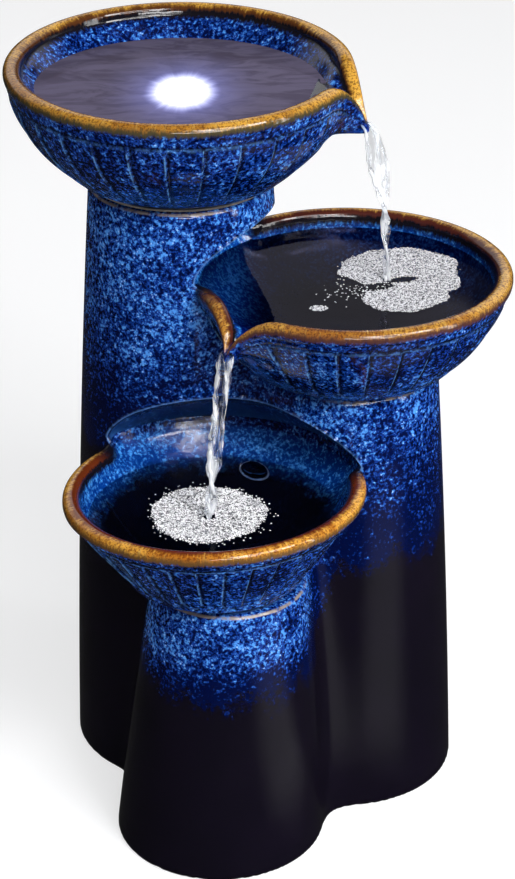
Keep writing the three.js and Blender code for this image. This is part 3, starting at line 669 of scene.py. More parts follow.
# Where the streams strike the water, and the middle of the foam that spreads from the lower one.
IMPACT_UPPER = (72.8, 20.3, MIDDLE["water"])
IMPACT_LOWER = (-28.9, -57.6, LOWER["water"])
LOWER_FOAM_MIDDLE = (-29.7, -54.3)
top_water = water_disc("top_water", TOP, 82.5, top_ripple, (TOP["x"], TOP["y"]))
middle_water = water_disc("middle_water", MIDDLE, 85.5, middle_ripple, IMPACT_UPPER)
lower_water = water_disc("lower_water", LOWER, 76.5, lower_ripple, IMPACT_LOWER)


def spout_point(bowl, reach, z):
    turn = math.radians(bowl["spout"]["turn"])
    return (bowl["x"] + reach * math.cos(turn), bowl["y"] + reach * math.sin(turn), z)


def tongue(name, bowl, start, depth):
    """The water that slides down the channel of a spout, from the edge of the still surface to the tip."""
    spout = bowl["spout"]
    turn = math.radians(spout["turn"])
    along = np.array([math.cos(turn), math.sin(turn)])
    across = np.array([-along[1], along[0]])
    tip, tip_z = spout["tip"], bowl["rim"] - spout["tip_drop"] + depth
    knots = [(start, bowl["water"] + 0.1), (bowl["radius"] - 10, bowl["water"] - 1.2)]
    knots += [(tip - 8, tip_z + 2.8), (tip - 1, tip_z - 0.5), (tip + 0.8, tip_z - 3.5)]
    channel = spline(knots, 40)
    share = np.linspace(0, 1, len(channel))
    half = 17 * (1 - share) ** 1.3 + 3.2
    v = np.linspace(-1, 1, 21)
    waves = 0.25 * np.sin(5 * v[None, :] + 9 * share[:, None]) * share[:, None]
    droop = 1.4 * np.abs(v[None, :]) ** 3 * share[:, None]
    place = channel[:, :1, None] * along + (half[:, None] * v[None, :])[:, :, None] * across
    z = channel[:, 1:] + waves - droop
    points = np.concatenate([place + np.array([bowl["x"], bowl["y"]]), z[:, :, None]], 2).reshape(-1, 3)
    return make_object(name, points, grid_faces(len(channel), len(v), closed=False))


top_tongue = tongue("top_spout_water", TOP, 76, 1.6)
middle_tongue = tongue("middle_spout_water", MIDDLE, 78, 1.4)


def tube(path, wide, thick, turn, sides):
    """A closed tube along a path; every argument but the last has a value for each point of the path."""
    around = circle_turns(sides)
    a, b = wide[:, None] * np.cos(around), thick[:, None] * np.sin(around)
    x = path[:, :1] + a * np.cos(turn)[:, None] - b * np.sin(turn)[:, None]
    y = path[:, 1:2] + a * np.sin(turn)[:, None] + b * np.cos(turn)[:, None]
    points = np.stack([x, y, np.broadcast_to(path[:, 2:], x.shape)], 2).reshape(-1, 3)
    faces = grid_faces(len(path), sides)
    last = (len(path) - 1) * sides
    return points, faces + [tuple(range(sides)), tuple(reversed(range(last, last + sides)))]


def joined(name, shells):
    points, faces = [], []
    for shell_points, shell_faces in shells:
        start = sum(len(p) for p in points)
        points.append(shell_points)
        faces += [tuple(start + i for i in face) for face in shell_faces]
    return make_object(name, np.vstack(points), faces)


def stream(name, knots, film_end, seed):
    """Falling water: three strands with a thin film between them, twisting together as they drop.
    Each knot is x, y, z, the half width of the sheet there, its turn and the radius of a strand.
    The film ends at the share film_end of the way."""
    rng = np.random.default_rng(seed)
    count = 260
    rows = spline(knots, count)
    path, half, turn, strand = rows[:, :3], rows[:, 3], rows[:, 4], rows[:, 5]
    s = np.linspace(0, 1, count)

    def wobble(size, low, high):
        waves = [np.sin(2 * math.pi * (rng.uniform(low, high) * s + rng.uniform())) for _ in range(3)]
        return size * sum(waves) / 2

    film_half = half * smooth(film_end + 0.06, film_end - 0.1, s) + 0.15
    shells = [tube(path, film_half, 0.32 + wobble(0.14, 4, 11), turn, 20)]
    for side, size in ((-1, 1.0), (1, 0.9), (0.35, 0.62)):
        offset = side * half * (1 + wobble(0.07, 2, 7))
        line = path.copy()
        line[:, 0] += offset * np.cos(turn)
        line[:, 1] += offset * np.sin(turn) + wobble(0.35, 2, 6)
        beads = size * strand * (1 + wobble(0.22, 6, 17))
        shells.append(tube(line, beads * 1.1, beads * 0.9, turn, 16))
    return joined(name, shells)


upper_knots = [
    (58.6, 25.4, 409.6, 2.6, 0.5, 0.8),
    (62.6, 25.2, 402.5, 3.4, 0.3, 0.9),
    (65.2, 24.6, 390.0, 4.9, 0.15, 1.0),
    (68.0, 23.8, 376.0, 4.2, 0.3, 1.15),
    (70.0, 23.2, 365.0, 2.5, 0.8, 1.25),
    (70.7, 22.6, 356.0, 1.7, 2.0, 1.3),
    (71.2, 21.9, 343.0, 1.5, 3.8, 1.25),
    (72.0, 21.1, 330.0, 1.3, 5.4, 1.1),
    (*IMPACT_UPPER[:2], IMPACT_UPPER[2] - 1.0, 1.1, 6.6, 1.1),
]
middle_lip = MIDDLE["rim"] - MIDDLE["spout"]["tip_drop"]
lower_start = spout_point(MIDDLE, MIDDLE["spout"]["tip"] - 1.5, middle_lip + 0.6)
lower_knots = [
    (*lower_start, 3.2, -0.3, 1.0),
    (-19.8, -55.2, 298.0, 3.5, -0.2, 1.1),
    (-21.4, -55.4, 284.0, 3.1, 0.1, 1.2),
    (-23.2, -55.8, 267.0, 2.6, 0.3, 1.25),
    (-25.2, -56.2, 248.0, 3.0, 0.1, 1.3),
    (-26.3, -56.5, 236.0, 2.9, 0.0, 1.3),
    (-26.9, -56.8, 230.0, 1.3, 0.5, 1.4),
    (-27.5, -57.1, 221.0, 2.1, 2.2, 1.45),
    (-28.2, -57.4, 211.0, 2.2, 3.6, 1.4),
    (*IMPACT_LOWER[:2], IMPACT_LOWER[2] - 1.0, 1.6, 4.6, 1.3),
]
upper_stream = stream("upper_stream", upper_knots, 0.5, 4)
lower_stream = stream("lower_stream", lower_knots, 0.8, 9)


def foam(name, inside, low, high, level, seed):
    """Many small bubbles that crowd together, each a low dome whose skirt runs under its neighbours."""
    rng = np.random.default_rng(seed)
    spacing = 1.02
    across = np.arange(low[0], high[0], spacing)
    up = np.arange(low[1], high[1], spacing * 0.866)
    x, y = np.meshgrid(across, up)
    x = x + spacing / 2 * (np.arange(len(up)) % 2)[:, None]
    x, y = x.ravel(), y.ravel()
    x = x + rng.uniform(-0.27, 0.27, len(x))
    y = y + rng.uniform(-0.27, 0.27, len(y))
    kept = rng.uniform(0, 1, len(x)) < inside(x, y)
    x, y = x[kept], y[kept]
    size = rng.uniform(0.4, 0.68, len(x))
    height = size * rng.uniform(0.75, 1.1, len(x))
    spin = rng.uniform(0, 2 * math.pi, len(x))
    sides = 5
    turns = spin[:, None] + circle_turns(sides)
    circle_x, circle_y = np.cos(turns), np.sin(turns)
    layers = []
    for share, lift in ((1.12, -0.12), (0.86, 0.5)):
        ring_x = x[:, None] + size[:, None] * share * circle_x
        ring_y = y[:, None] + size[:, None] * share * circle_y
        ring_z = level + np.broadcast_to(height[:, None] * lift, ring_x.shape)
        layers.append(np.stack([ring_x, ring_y, ring_z], 2))
    peak = np.stack([x, y, level + height], 1)[:, None, :]
    points = np.concatenate([*layers, peak], 1)
    first = np.arange(len(x))[:, None] * (2 * sides + 1)
    i = np.arange(sides)[None, :]
    j = (i + 1) % sides
    quads = [first + i, first + j, first + sides + j, first + sides + i]
    tips = [first + sides + i, first + sides + j, first + 2 * sides + 0 * i]
    walls, caps = [np.stack(corners, 2).reshape(-1, len(corners)).tolist() for corners in (quads, tips)]
    under = (first + i[:, ::-1]).tolist()
    made = make_object(name, points.reshape(-1, 3), walls + caps + under)
    paint(made, "cap", np.tile(np.repeat([0.0, 0.55, 1.0], [sides, sides, 1]), len(x)))
    return made


def lower_patch(x, y):
    """One round patch with a ragged edge, open where the stream strikes."""
    dx, dy = x - LOWER_FOAM_MIDDLE[0], y - LOWER_FOAM_MIDDLE[1]
    r, turn = np.hypot(dx, dy * 1.02), np.arctan2(dy, dx)
    ragged = 33 + 0.9 * np.sin(3 * turn + 1) + 0.5 * np.sin(7 * turn)
    struck = np.hypot((x - IMPACT_LOWER[0]) / 3.6, (y - IMPACT_LOWER[1]) / 3.2) < 1
    spread = smooth(ragged + 1.2, ragged - 1.6, r) + 0.14 * np.exp(-np.abs(r - ragged) / 2)
    return np.where(struck, 0.0, np.minimum(spread, 1.0))


def middle_patch(x, y):
    """Two lobes joined at the right, an island and strays; open between the lobes and where it is struck."""
    wave = 0.03 * np.sin(x / 3.7) + 0.03 * np.sin(y / 2.9 + 1)
    upper = np.hypot((x - 80) / 34.5, (y - 38) / 27.5 - 0.1 * (x - 80) / 34.5)
    lower = np.hypot((x - 82.5) / 24.5, (y + 1.5 - 0.16 * (x - 82.5)) / 21.5)
    bridge = np.hypot((x - 96) / 18.5, (y - 20) / 20)
    whole = np.minimum(np.minimum(upper, lower), bridge) + wave
    cleft = np.hypot((x - 81) / 9.5, (y - 20.5 - 0.25 * (x - 81)) / 3.6) < 1
    gap = np.hypot((x - 60) / 17, (y - 9 - 0.25 * (x - 60)) / 5.2) < 1
    struck = np.hypot(x - IMPACT_UPPER[0], y - IMPACT_UPPER[1]) < 3
    island = np.hypot((x - 32.5) / 5.2, (y + 18.5) / 4.0) + wave < 1
    strays = 0.13 * np.exp(-(np.hypot((x - 56) / 14, (y - 4) / 13) ** 2))
    spread = np.where(whole < 1, 1.0, np.maximum(strays, 0.15 * np.exp(-(np.maximum(whole, 1) - 1) * 60)))
    spread = np.where(cleft, 0.04, np.where(gap, 0.1, spread))
    return np.where(struck, 0.0, np.where(island, 1.0, spread))


lower_foam = foam("lower_foam", lower_patch, (-72, -98), (12, -12), LOWER["water"], 3)
middle_foam = foam("middle_foam", middle_patch, (24, -34), (128, 76), MIDDLE["water"], 5)


# ---------------------------------------------------------------- materials
class Finish:
    """A node material, or the world, under construction."""

    def __init__(self, name, owner=None):
        self.owner = owner or bpy.data.materials.new(name)
        self.owner.use_nodes = True
        self.tree = self.owner.node_tree
        self.tree.nodes.clear()
        self.place = self.node("ShaderNodeTexCoord").outputs["Object"]

    def node(self, kind, inputs=None, **settings):
        made = self.tree.nodes.new(kind)
        for key, value in settings.items():
            setattr(made, key, value)
        for key, value in (inputs or {}).items():
            if isinstance(value, bpy.types.NodeSocket):
                self.tree.links.new(value, made.inputs[key])
            else:
                made.inputs[key].default_value = value
        return made

    def attribute(self, name):
        return self.node("ShaderNodeAttribute", attribute_name=name).outputs["Fac"]

    def axes(self, vector=None):
        """The x, y and z of a place."""
        return self.node("ShaderNodeSeparateXYZ", {"Vector": vector or self.place}).outputs

    def scaled(self, scale):
        return self.node("ShaderNodeMapping", {"Vector": self.place, "Scale": scale}).outputs[0]

    def noise(self, scale, detail=3.0, roughness=0.55, distortion=0.0, place=None):
        inputs = {"Scale": scale, "Detail": detail, "Roughness": roughness, "Distortion": distortion}
        inputs["Vector"] = place or self.place
        return self.node("ShaderNodeTexNoise", inputs).outputs["Fac"]

    def cells(self, scale):
        return self.node("ShaderNodeTexVoronoi", {"Scale": scale, "Vector": self.place}).outputs["Distance"]

    def math(self, operation, a, b=0.0):
        return self.node("ShaderNodeMath", {0: a, 1: b}, operation=operation).outputs[0]

    def plus(self, a, b):
        return self.math("ADD", a, b)

    def minus(self, a, b):
        return self.math("SUBTRACT", a, b)

    def times(self, a, b):
        return self.math("MULTIPLY", a, b)

    def swing(self, noise, size):
        """A noise as a push to both sides, size from end to end."""
        return self.times(self.minus(noise, 0.5), size)

    def length(self, a, b):
        return self.math("SQRT", self.plus(self.times(a, a), self.times(b, b)))

    def fit(self, value, low, high, start=0.0, end=1.0, kind="SMOOTHSTEP"):
        inputs = {"Value": value, "From Min": low, "From Max": high, "To Min": start, "To Max": end}
        return self.node("ShaderNodeMapRange", inputs, interpolation_type=kind).outputs[0]

    def mix(self, share, a, b):
        return self.node("ShaderNodeMix", {0: share, 6: a, 7: b}, data_type="RGBA").outputs[2]

    def blend(self, share, a, b):
        """Two shaders mixed."""
        return self.node("ShaderNodeMixShader", {0: share, 1: a, 2: b}).outputs[0]

    def bump(self, height, strength, distance, normal=None):
        inputs = {"Height": height, "Strength": strength, "Distance": distance}
        if normal:
            inputs["Normal"] = normal
        return self.node("ShaderNodeBump", inputs).outputs[0]

    def finish(self, shader, output="ShaderNodeOutputMaterial"):
        self.node(output, {"Surface": shader})
        return self.owner

    def principled(self, **inputs):
        named = {key.replace("_", " "): value for key, value in inputs.items()}
        return self.finish(self.node("ShaderNodeBsdfPrincipled", named).outputs[0])


def rgb(red, green, blue):
    """A colour given as it looks on a screen, 0 to 255."""
    shares = [c / 255 for c in (red, green, blue)]
    return *[c / 12.92 if c <= 0.04045 else ((c + 0.055) / 1.055) ** 2.4 for c in shares], 1.0


WHITE = (1, 1, 1, 1)
NAVY = rgb(0, 8, 50)
COBALT = rgb(14, 52, 134)
AZURE = rgb(72, 138, 216)
PALE_BLUE = rgb(176, 206, 244)
# Near black: the columns' own dark glaze, and also the painted shade inside the drain hole.
BLACK_GLAZE_AND_HOLE_SHADE = rgb(9, 8, 15)
DRAIN_EDGES = (30, 110)  # how far behind the lower bowl's axis the drain hole is painted: painted shade inside it, a painted highlight round its edge
SEAM_DROP = 1.4  # how far below a column's top its worn line runs


def flecked(f, density):
    """Blue glaze: navy ground with crowded azure flecks, where density runs from 0 to 1."""
    fine = f.noise(560, 2.0, 0.6, 0.3)
    medium = f.noise(260, 3.0, 0.55, 0.5)
    broad = f.noise(38, 3.0, 0.5)
    crystals = f.cells(460)
    pattern = f.plus(f.times(fine, 0.58), f.times(medium, 0.42))
    pattern = f.plus(pattern, f.swing(broad, 0.24))
    pattern = f.plus(pattern, f.fit(density, 0, 1, -0.2, 0.0, "LINEAR"))
    mid = f.fit(pattern, 0.4, 0.53)
    high = f.fit(pattern, 0.5, 0.62)
    sparkle = f.times(f.fit(crystals, 0.34, 0.14), f.fit(pattern, 0.5, 0.6))
    color = f.mix(mid, NAVY, COBALT)
    color = f.mix(high, color, AZURE)
    color = f.mix(f.times(sparkle, 0.55), color, PALE_BLUE)
    return color, pattern


def glaze_bump(f, pattern, strength=0.22):
    broad = f.noise(95, 2.0, 0.5)
    first = f.bump(broad, strength, 0.0011)
    return f.bump(pattern, 0.16, 0.0003, first)


# The mask for the drain hole's painted shade and the painted highlight round its edge.
def hole_share(f, full, none):
    """1 up to the distance full past the drain hole's edge and 0 from none on, both in millimetres."""
    x, y, z = f.axes()
    up = f.math("DIVIDE", f.minus(z, DRAIN["z"] * MM), DRAIN["flat"])
    apart = f.minus(f.length(f.minus(x, DRAIN["x"] * MM), up), DRAIN["radius"] * MM)
    in_front = f.math("LESS_THAN", y, (LOWER["y"] + DRAIN_EDGES[0]) * MM)
    behind = f.math("GREATER_THAN", y, (LOWER["y"] + DRAIN_EDGES[1]) * MM)
    within = f.minus(1.0, f.math("MAXIMUM", in_front, behind))
    return f.times(f.fit(apart, none * MM, full * MM), within)


def body_glaze():
    """Blue flecks that thin out down the columns into a ragged edge over near black; a niche painted paler as
    painted reflection, painted shade in the drain hole and painted highlights on the arch edges.
    """
    f = Finish("column_glaze")
    ragged = f.noise(60, 4.0, 0.6, 0.4, f.scaled((1, 1, 0.55)))
    dither = f.noise(430, 2.0, 0.6)
    height = f.plus(f.attribute("lift"), f.swing(ragged, 52))
    height = f.plus(height, f.swing(dither, 34))
    density = f.fit(f.attribute("richness"), 0, 1, 0.25, 1.0)
    blue, pattern = flecked(f, density)
    shown = f.fit(height, -5, 9)
    dark = f.mix(f.noise(26, 3.0), BLACK_GLAZE_AND_HOLE_SHADE, rgb(17, 12, 25))
    color = f.mix(shown, dark, blue)
    # The niche painted a paler, hazy blue: painted reflection inside the dome.
    color = f.mix(f.times(f.attribute("niche"), 0.5), color, f.mix(f.noise(70, 4.0), COBALT, AZURE))
    # The drain passage painted near black: painted shade inside the hole.
    color = f.mix(hole_share(f, 0.6, 1.2), color, BLACK_GLAZE_AND_HOLE_SHADE)
    # Arch edges painted paler: glaze thinning on the edge, with a painted highlight.
    color = f.mix(f.times(f.fit(f.attribute("edge"), 0.5, 0.95), 0.8), color, rgb(84, 126, 190))
    seam = 0.0
    for column in COLUMNS:
        gap = f.math("ABSOLUTE", f.minus(f.axes()[2], (column["top"] - SEAM_DROP) * MM))
        seam = f.math("MAXIMUM", seam, f.fit(gap, 1.0 * MM, 0.3 * MM))
    worn = f.times(f.attribute("worn"), f.times(seam, f.fit(f.noise(170, 3.0), 0.35, 0.55)))
    color = f.mix(worn, color, rgb(130, 120, 115))
    rough = f.fit(f.noise(55, 3.0), 0.3, 0.7, 0.09, 0.17)
    normal = glaze_bump(f, pattern)
    return f.principled(Base_Color=color, Roughness=rough, Specular_IOR_Level=0.3, Normal=normal)


def bowl_glaze(name, ambers, brown_from, dark, inner_light, left_light=0.0, hole=False):
    """Fluted blue outside, mottled amber lip, blue inner wall that darkens between two depths.
    Inner_light and left_light say how much painted light brightens the inner wall, all round and on the left;
    the lip turns brown from the distance brown_from inside its crest."""
    f = Finish(name)
    crest, sink, ridge, pool = (f.attribute(key) for key in ("crest", "sink", "ridge", "pool"))
    sunk, beak = f.attribute("sunk"), f.attribute("beak")
    blue, pattern = flecked(f, 0.8)
    pitted = f.noise(820, 2.0, 0.6)
    # Painted darker: pooled glaze in the flutes, painted shade in the groove under the lip.
    blue = f.mix(f.times(pool, 0.9), blue, rgb(4, 6, 20))
    # Painted paler: the ridges as glaze thinning with a painted highlight, the flutes' tops as a painted
    # highlight.
    glint = f.times(ridge, f.fit(f.noise(240, 3.0), 0.4, 0.62, 0.05, 0.75))
    blue = f.mix(glint, blue, rgb(100, 152, 204))

    # The inner wall: blue under the lip, near black in the depth.
    ragged = f.plus(sink, f.swing(f.noise(110, 4.0, 0.65), 14))
    deep = f.fit(ragged, *dark)
    is_inner = f.fit(crest, -4, -7)
    # Painted light: a lit copy of the blue over the inner wall, all round and more on the left, where it also
    # lifts the dark of the depth.
    lit = f.mix(f.fit(pattern, 0.42, 0.58), rgb(6, 66, 160), rgb(64, 154, 236))
    left = f.fit(f.axes()[0], 22 * MM, -16 * MM)
    left = f.times(left, left_light)
    blue = f.mix(f.times(is_inner, f.math("MAXIMUM", left, inner_light)), blue, lit)
    deep = f.times(deep, f.minus(1.0, left))
    blue = f.mix(f.times(deep, is_inner), blue, rgb(5, 5, 14))

    # The lip: streaks run across it, from near black inside through amber to olive outside.
    across = f.times(crest, 0.16 * MM)
    ring_place = {0: f.attribute("ring_x"), 1: f.attribute("ring_y"), 2: across}
    ring = f.node("ShaderNodeCombineXYZ", ring_place).outputs[0]
    hairs = f.noise(620, 3.0, 0.65, 0.2, ring)
    tufts = f.noise(190, 3.0, 0.6, 0.4, ring)
    drift = f.noise(14, 3.0, 0.55, 0.0, ring)
    wobble = f.plus(f.swing(hairs, 7), f.swing(tufts, 4))
    along = f.plus(crest, f.times(wobble, 0.8))
    bright, deep_amber, brown, olive = ambers
    patchy = f.plus(f.times(drift, 0.7), f.times(tufts, 0.3))
    gold = f.mix(f.fit(patchy, 0.4, 0.6), deep_amber, bright)
    gold = f.mix(f.times(f.fit(pitted, 0.53, 0.4), 0.75), gold, brown)
    gold = f.mix(f.times(f.fit(hairs, 0.55, 0.7), 0.35), gold, rgb(236, 200, 110))
    shifted = f.plus(along, f.swing(drift, 9))
    lip = f.mix(f.fit(shifted, brown_from, brown_from - 3.4), gold, brown)
    lip = f.mix(f.fit(along, -4.4, -6.6), lip, rgb(18, 16, 22))
    lip = f.mix(f.fit(along, 3.4, 7.4), lip, olive)
    lip_share = f.times(f.fit(along, 10.4, 7.6), f.fit(along, -12.5, -8.5))
    lip_share = f.times(lip_share, f.fit(sunk, -6, 2))
    lip = f.mix(f.fit(sunk, 24, 4), lip, rgb(13, 12, 20))
    color = f.mix(lip_share, blue, lip)
    if hole:
        # A pale ring painted round the drain hole's edge: painted highlight.
        around = f.times(hole_share(f, 1.2, 1.8), is_inner)
        color = f.mix(f.times(around, f.fit(tufts, 0.4, 0.6, 0.2, 0.9)), color, rgb(120, 140, 176))
        # The drain hole's inside painted near black: painted shade.
        color = f.mix(hole_share(f, 0.3, 0.9), color, BLACK_GLAZE_AND_HOLE_SHADE)
    tip = f.times(f.fit(beak, 0.8, 0.97), f.fit(crest, -22, -8))
    color = f.mix(f.times(tip, 0.6), color, rgb(20, 60, 150))
    rough = f.fit(f.noise(75, 3.0), 0.3, 0.7, 0.1, 0.2)
    rough = f.minus(rough, f.times(lip_share, 0.06))
    normal = glaze_bump(f, pattern, 0.3)
    return f.principled(Base_Color=color, Roughness=rough, Specular_IOR_Level=0.35, Normal=normal)


def water_glow(f, x, y, centre):
    """The glow of a light under the water, painted on the surface as emission: a white core with short rays
    in a violet halo, longer in y.
    """
    x = f.minus(x, centre[0] * MM)
    y = f.times(f.minus(y, centre[1] * MM), 0.62)
    reach = f.length(x, y)
    angle = f.math("ARCTAN2", y, x)
    swirl = {0: f.math("COSINE", angle), 1: f.math("SINE", angle), 2: f.times(reach, 4)}
    rays = f.noise(4.5, 3.0, 0.6, 0.0, f.node("ShaderNodeCombineXYZ", swirl).outputs[0])
    wavy = f.times(reach, f.fit(rays, 0.3, 0.7, 1.06, 0.94, "LINEAR"))
    core = f.fit(wavy, 0.0225, 0.011)
    halo = f.math("POWER", f.fit(wavy, 0.05, 0.008, 0.0, 1.0, "LINEAR"), 2.2)
    colour = f.mix(core, rgb(150, 160, 255), rgb(238, 242, 255))
    strength = f.plus(f.times(core, 1.3), f.times(halo, 0.5))
    return f.node("ShaderNodeEmission", {"Color": colour, "Strength": strength}).outputs[0]


def water_material(name, tint, gloss, shaded=None, glow=None, veil=None, clear_left=False):
    """Still water: reflects by Fresnel, and lets the bowl show through in its tint.
    Shaded is a direction in x and y, and the two distances along it between which the reflection fades;
    glow is the place of a light below, whose glow is painted on the surface as emission, and veil the two
    colours of the murk, painted as though lit by it."""
    f = Finish(name)
    x, y, _ = f.axes()
    ripples = f.bump(f.noise(70, 2.0, 0.5, 0.8), 0.05, 0.0015)
    share = f.node("ShaderNodeFresnel", {"IOR": 1.33, "Normal": ripples}).outputs[0]
    mirror = f.node("ShaderNodeBsdfGlossy", {"Color": gloss, "Roughness": 0.03, "Normal": ripples}).outputs[0]
    # Painted light: the water is made clearer on the left, so the wall under it, painted lit, shows brightly.
    if clear_left:
        tint = f.mix(f.fit(x, 4 * MM, -18 * MM), tint, rgb(236, 244, 255))
    clear = f.node("ShaderNodeBsdfTransparent", {"Color": tint}).outputs[0]
    if shaded:
        direction, start, end = shaded
        run = f.plus(f.times(x, direction[0]), f.times(y, direction[1]))
        run = f.plus(run, f.swing(f.noise(40), 0.02))
        share = f.times(share, f.fit(run, start * MM, end * MM, 1.0, 0.15))
    mixed = f.blend(share, clear, mirror)
    if veil:
        # Painted light: the murk's grey-violet stands in for light scattered in the water and the sky
        # mirrored on it.
        streaks = f.noise(26, 4.0, 0.62, 1.6, f.scaled((1, 2.4, 1)))
        murk = f.mix(f.fit(streaks, 0.36, 0.64), *veil)
        mixed = f.blend(0.8, mixed, f.node("ShaderNodeBsdfDiffuse", {"Color": murk}).outputs[0])
    if glow:
        mixed = f.node("ShaderNodeAddShader", {0: mixed, 1: water_glow(f, x, y, glow)}).outputs[0]
    return f.finish(mixed)


def stream_material():
    """Clear water with whiter strands along the fall."""
    f = Finish("falling_water")
    strands = f.noise(200, 2.0, 0.5, 0.5, f.scaled((1, 1, 0.2)))
    normal = f.bump(strands, 0.12, 0.0008)
    clear = f.fit(strands, 0.44, 0.62, 1.0, 0.45)
    white = rgb(250, 252, 255)
    return f.principled(Base_Color=white, Roughness=0.0, IOR=1.33, Transmission_Weight=clear, Normal=normal)


def foam_material(name, lightest):
    """Bubbles painted bright on their tops and dark between them, as painted light and shade, with darker
    pits and patches.
    """
    f = Finish(name)
    cap = f.attribute("cap")
    speck = f.noise(900, 2.0, 0.6)
    patch = f.noise(130, 3.0, 0.6)
    pits = f.noise(560, 2.0, 0.6)
    # Painted light and shade: the bubbles' tops bright, the gaps between them dark.
    dome = f.fit(f.plus(cap, f.swing(speck, 0.9)), 0.16, 0.6)
    colour = f.mix(dome, rgb(46, 46, 52), lightest)
    colour = f.mix(f.times(f.fit(pits, 0.49, 0.38), 0.85), colour, rgb(44, 44, 50))
    colour = f.mix(f.fit(patch, 0.34, 0.5, 0.3, 0.0), colour, rgb(140, 140, 146))
    return f.principled(Base_Color=colour, Roughness=0.2, Specular_IOR_Level=0.5)


def moulded(name, dark, light, roughness, scale=900, bump=0.15, **more):
    """Moulded plastic, rubber or ceramic with fine mottling and a slight skin."""
    f = Finish(name)
    grain = f.noise(scale, 3.0, 0.6)
    broad = f.noise(60, 3.0)
    colour = f.mix(f.fit(f.plus(grain, broad), 0.8, 1.2), dark, light)
    rough = f.fit(grain, 0.3, 0.7, roughness * 0.85, roughness * 1.15)
    return f.principled(Base_Color=colour, Roughness=rough, Normal=f.bump(grain, bump, 0.0002), **more)


def sponge_material():
    f = Finish("open_sponge")
    pores = f.cells(650)
    wide = f.cells(300)
    colour = f.mix(f.fit(pores, 0.15, 0.5), rgb(12, 13, 15), rgb(52, 56, 62))
    normal = f.bump(f.plus(pores, wide), 0.9, 0.0012)
    return f.principled(Base_Color=colour, Roughness=0.9, Normal=normal)


def board_material():
    f = Finish("board")
    waves = {"Vector": f.place, "Scale": 140, "Distortion": 2.5}
    tracks = f.node("ShaderNodeTexWave", waves, wave_type="RINGS", rings_direction="Z").outputs["Fac"]
    colour = f.mix(f.fit(tracks, 0.8, 0.9), rgb(24, 84, 48), rgb(62, 128, 78))
    colour = f.mix(f.fit(f.noise(700), 0.4, 0.7, 0.0, 0.3), colour, rgb(14, 52, 32))
    return f.principled(Base_Color=colour, Roughness=0.4, Normal=f.bump(tracks, 0.2, 0.0002))


def chip_material():
    f = Finish("lit_chip")
    phosphor = f.mix(f.fit(f.noise(1500), 0.35, 0.65), rgb(255, 236, 170), rgb(255, 250, 220))
    glow = dict(Emission_Color=rgb(235, 240, 255), Emission_Strength=4.0)
    return f.principled(Base_Color=phosphor, Roughness=0.4, **glow)


AMBERS_TOP = (rgb(200, 150, 58), rgb(150, 100, 34), rgb(78, 44, 20), rgb(62, 56, 38))
AMBERS_MIDDLE = (rgb(196, 148, 62), rgb(142, 90, 34), rgb(72, 32, 24), rgb(70, 44, 40))
AMBERS_LOWER = (rgb(224, 166, 66), rgb(160, 96, 26), rgb(96, 40, 14), rgb(92, 66, 36))

GLOW_PLACE = (TOP["x"] + 2.2, TOP["y"] - 14.5)  # over the light, moved to the front as water bends its rays
LIT = dict(glow=GLOW_PLACE, veil=(rgb(78, 72, 90), rgb(98, 92, 114)))
SHADED = dict(shaded=((0.8, 0.6), 76, 98), clear_left=True)

sliding = water_material("spout_water", rgb(160, 190, 235), WHITE)
falling = stream_material()
for piece, look in (
    (body, body_glaze()),
    (top_bowl, bowl_glaze("top_bowl_glaze", AMBERS_TOP, -0.6, (18, 26), 0.0)),
    (middle_bowl, bowl_glaze("middle_bowl_glaze", AMBERS_MIDDLE, 0.8, (24, 40), 0.35, left_light=0.95)),
    (lower_bowl, bowl_glaze("lower_bowl_glaze", AMBERS_LOWER, 2.4, (17, 28), 0.5, hole=True)),
    (top_water, water_material("top_water", rgb(70, 66, 90), (0.71, 0.625, 0.98, 1), **LIT)),
    (middle_water, water_material("middle_water", rgb(140, 140, 160), (0.235, 0.23, 0.28, 1), **SHADED)),
    (lower_water, water_material("lower_water", rgb(250, 251, 255), (0.5, 0.5, 0.6, 1))),
    (top_tongue, sliding),
    (middle_tongue, sliding),
    (upper_stream, falling),
    (lower_stream, falling),
    (lower_foam, foam_material("lower_foam", rgb(252, 252, 254))),
    # The middle foam's lightest colour is painted darker than the lower's: painted shade against the stronger
    # light on it.
    (middle_foam, foam_material("middle_foam", rgb(216, 216, 220))),
):
    piece.data.materials.append(look)

LENS_LOOK = dict(bump=0.05, Transmission_Weight=0.9, IOR=1.49)
HOSE_LOOK = dict(bump=0.1, Transmission_Weight=0.75, IOR=1.45)
SLOT_FINISHES = {
    "silicone": moulded("silicone", rgb(96, 92, 86), rgb(124, 118, 110), 0.5, 500),
    "black_plastic": moulded("black_plastic", rgb(20, 21, 23), rgb(34, 35, 38), 0.42),
    "grey_plastic": moulded("grey_plastic", rgb(66, 69, 74), rgb(86, 90, 96), 0.46),
    "black_rubber": moulded("black_rubber", rgb(18, 18, 18), rgb(36, 35, 34), 0.8, 1200, 0.35),
    "circuit_board": board_material(),
    "light_chip": chip_material(),
    "clear_lens": moulded("clear_lens", rgb(214, 226, 240), rgb(235, 242, 250), 0.1, 300, **LENS_LOOK),
    "clear_hose": moulded("clear_hose", rgb(200, 210, 216), rgb(228, 234, 238), 0.2, 260, **HOSE_LOOK),
    "magnet": moulded("magnet", rgb(62, 59, 57), rgb(98, 94, 90), 0.45, 1400, 0.3, Metallic=0.6),
    "white_ceramic": moulded("white_ceramic", rgb(232, 228, 218), rgb(246, 244, 238), 0.2, 700, 0.08),
    "sponge": sponge_material(),
}

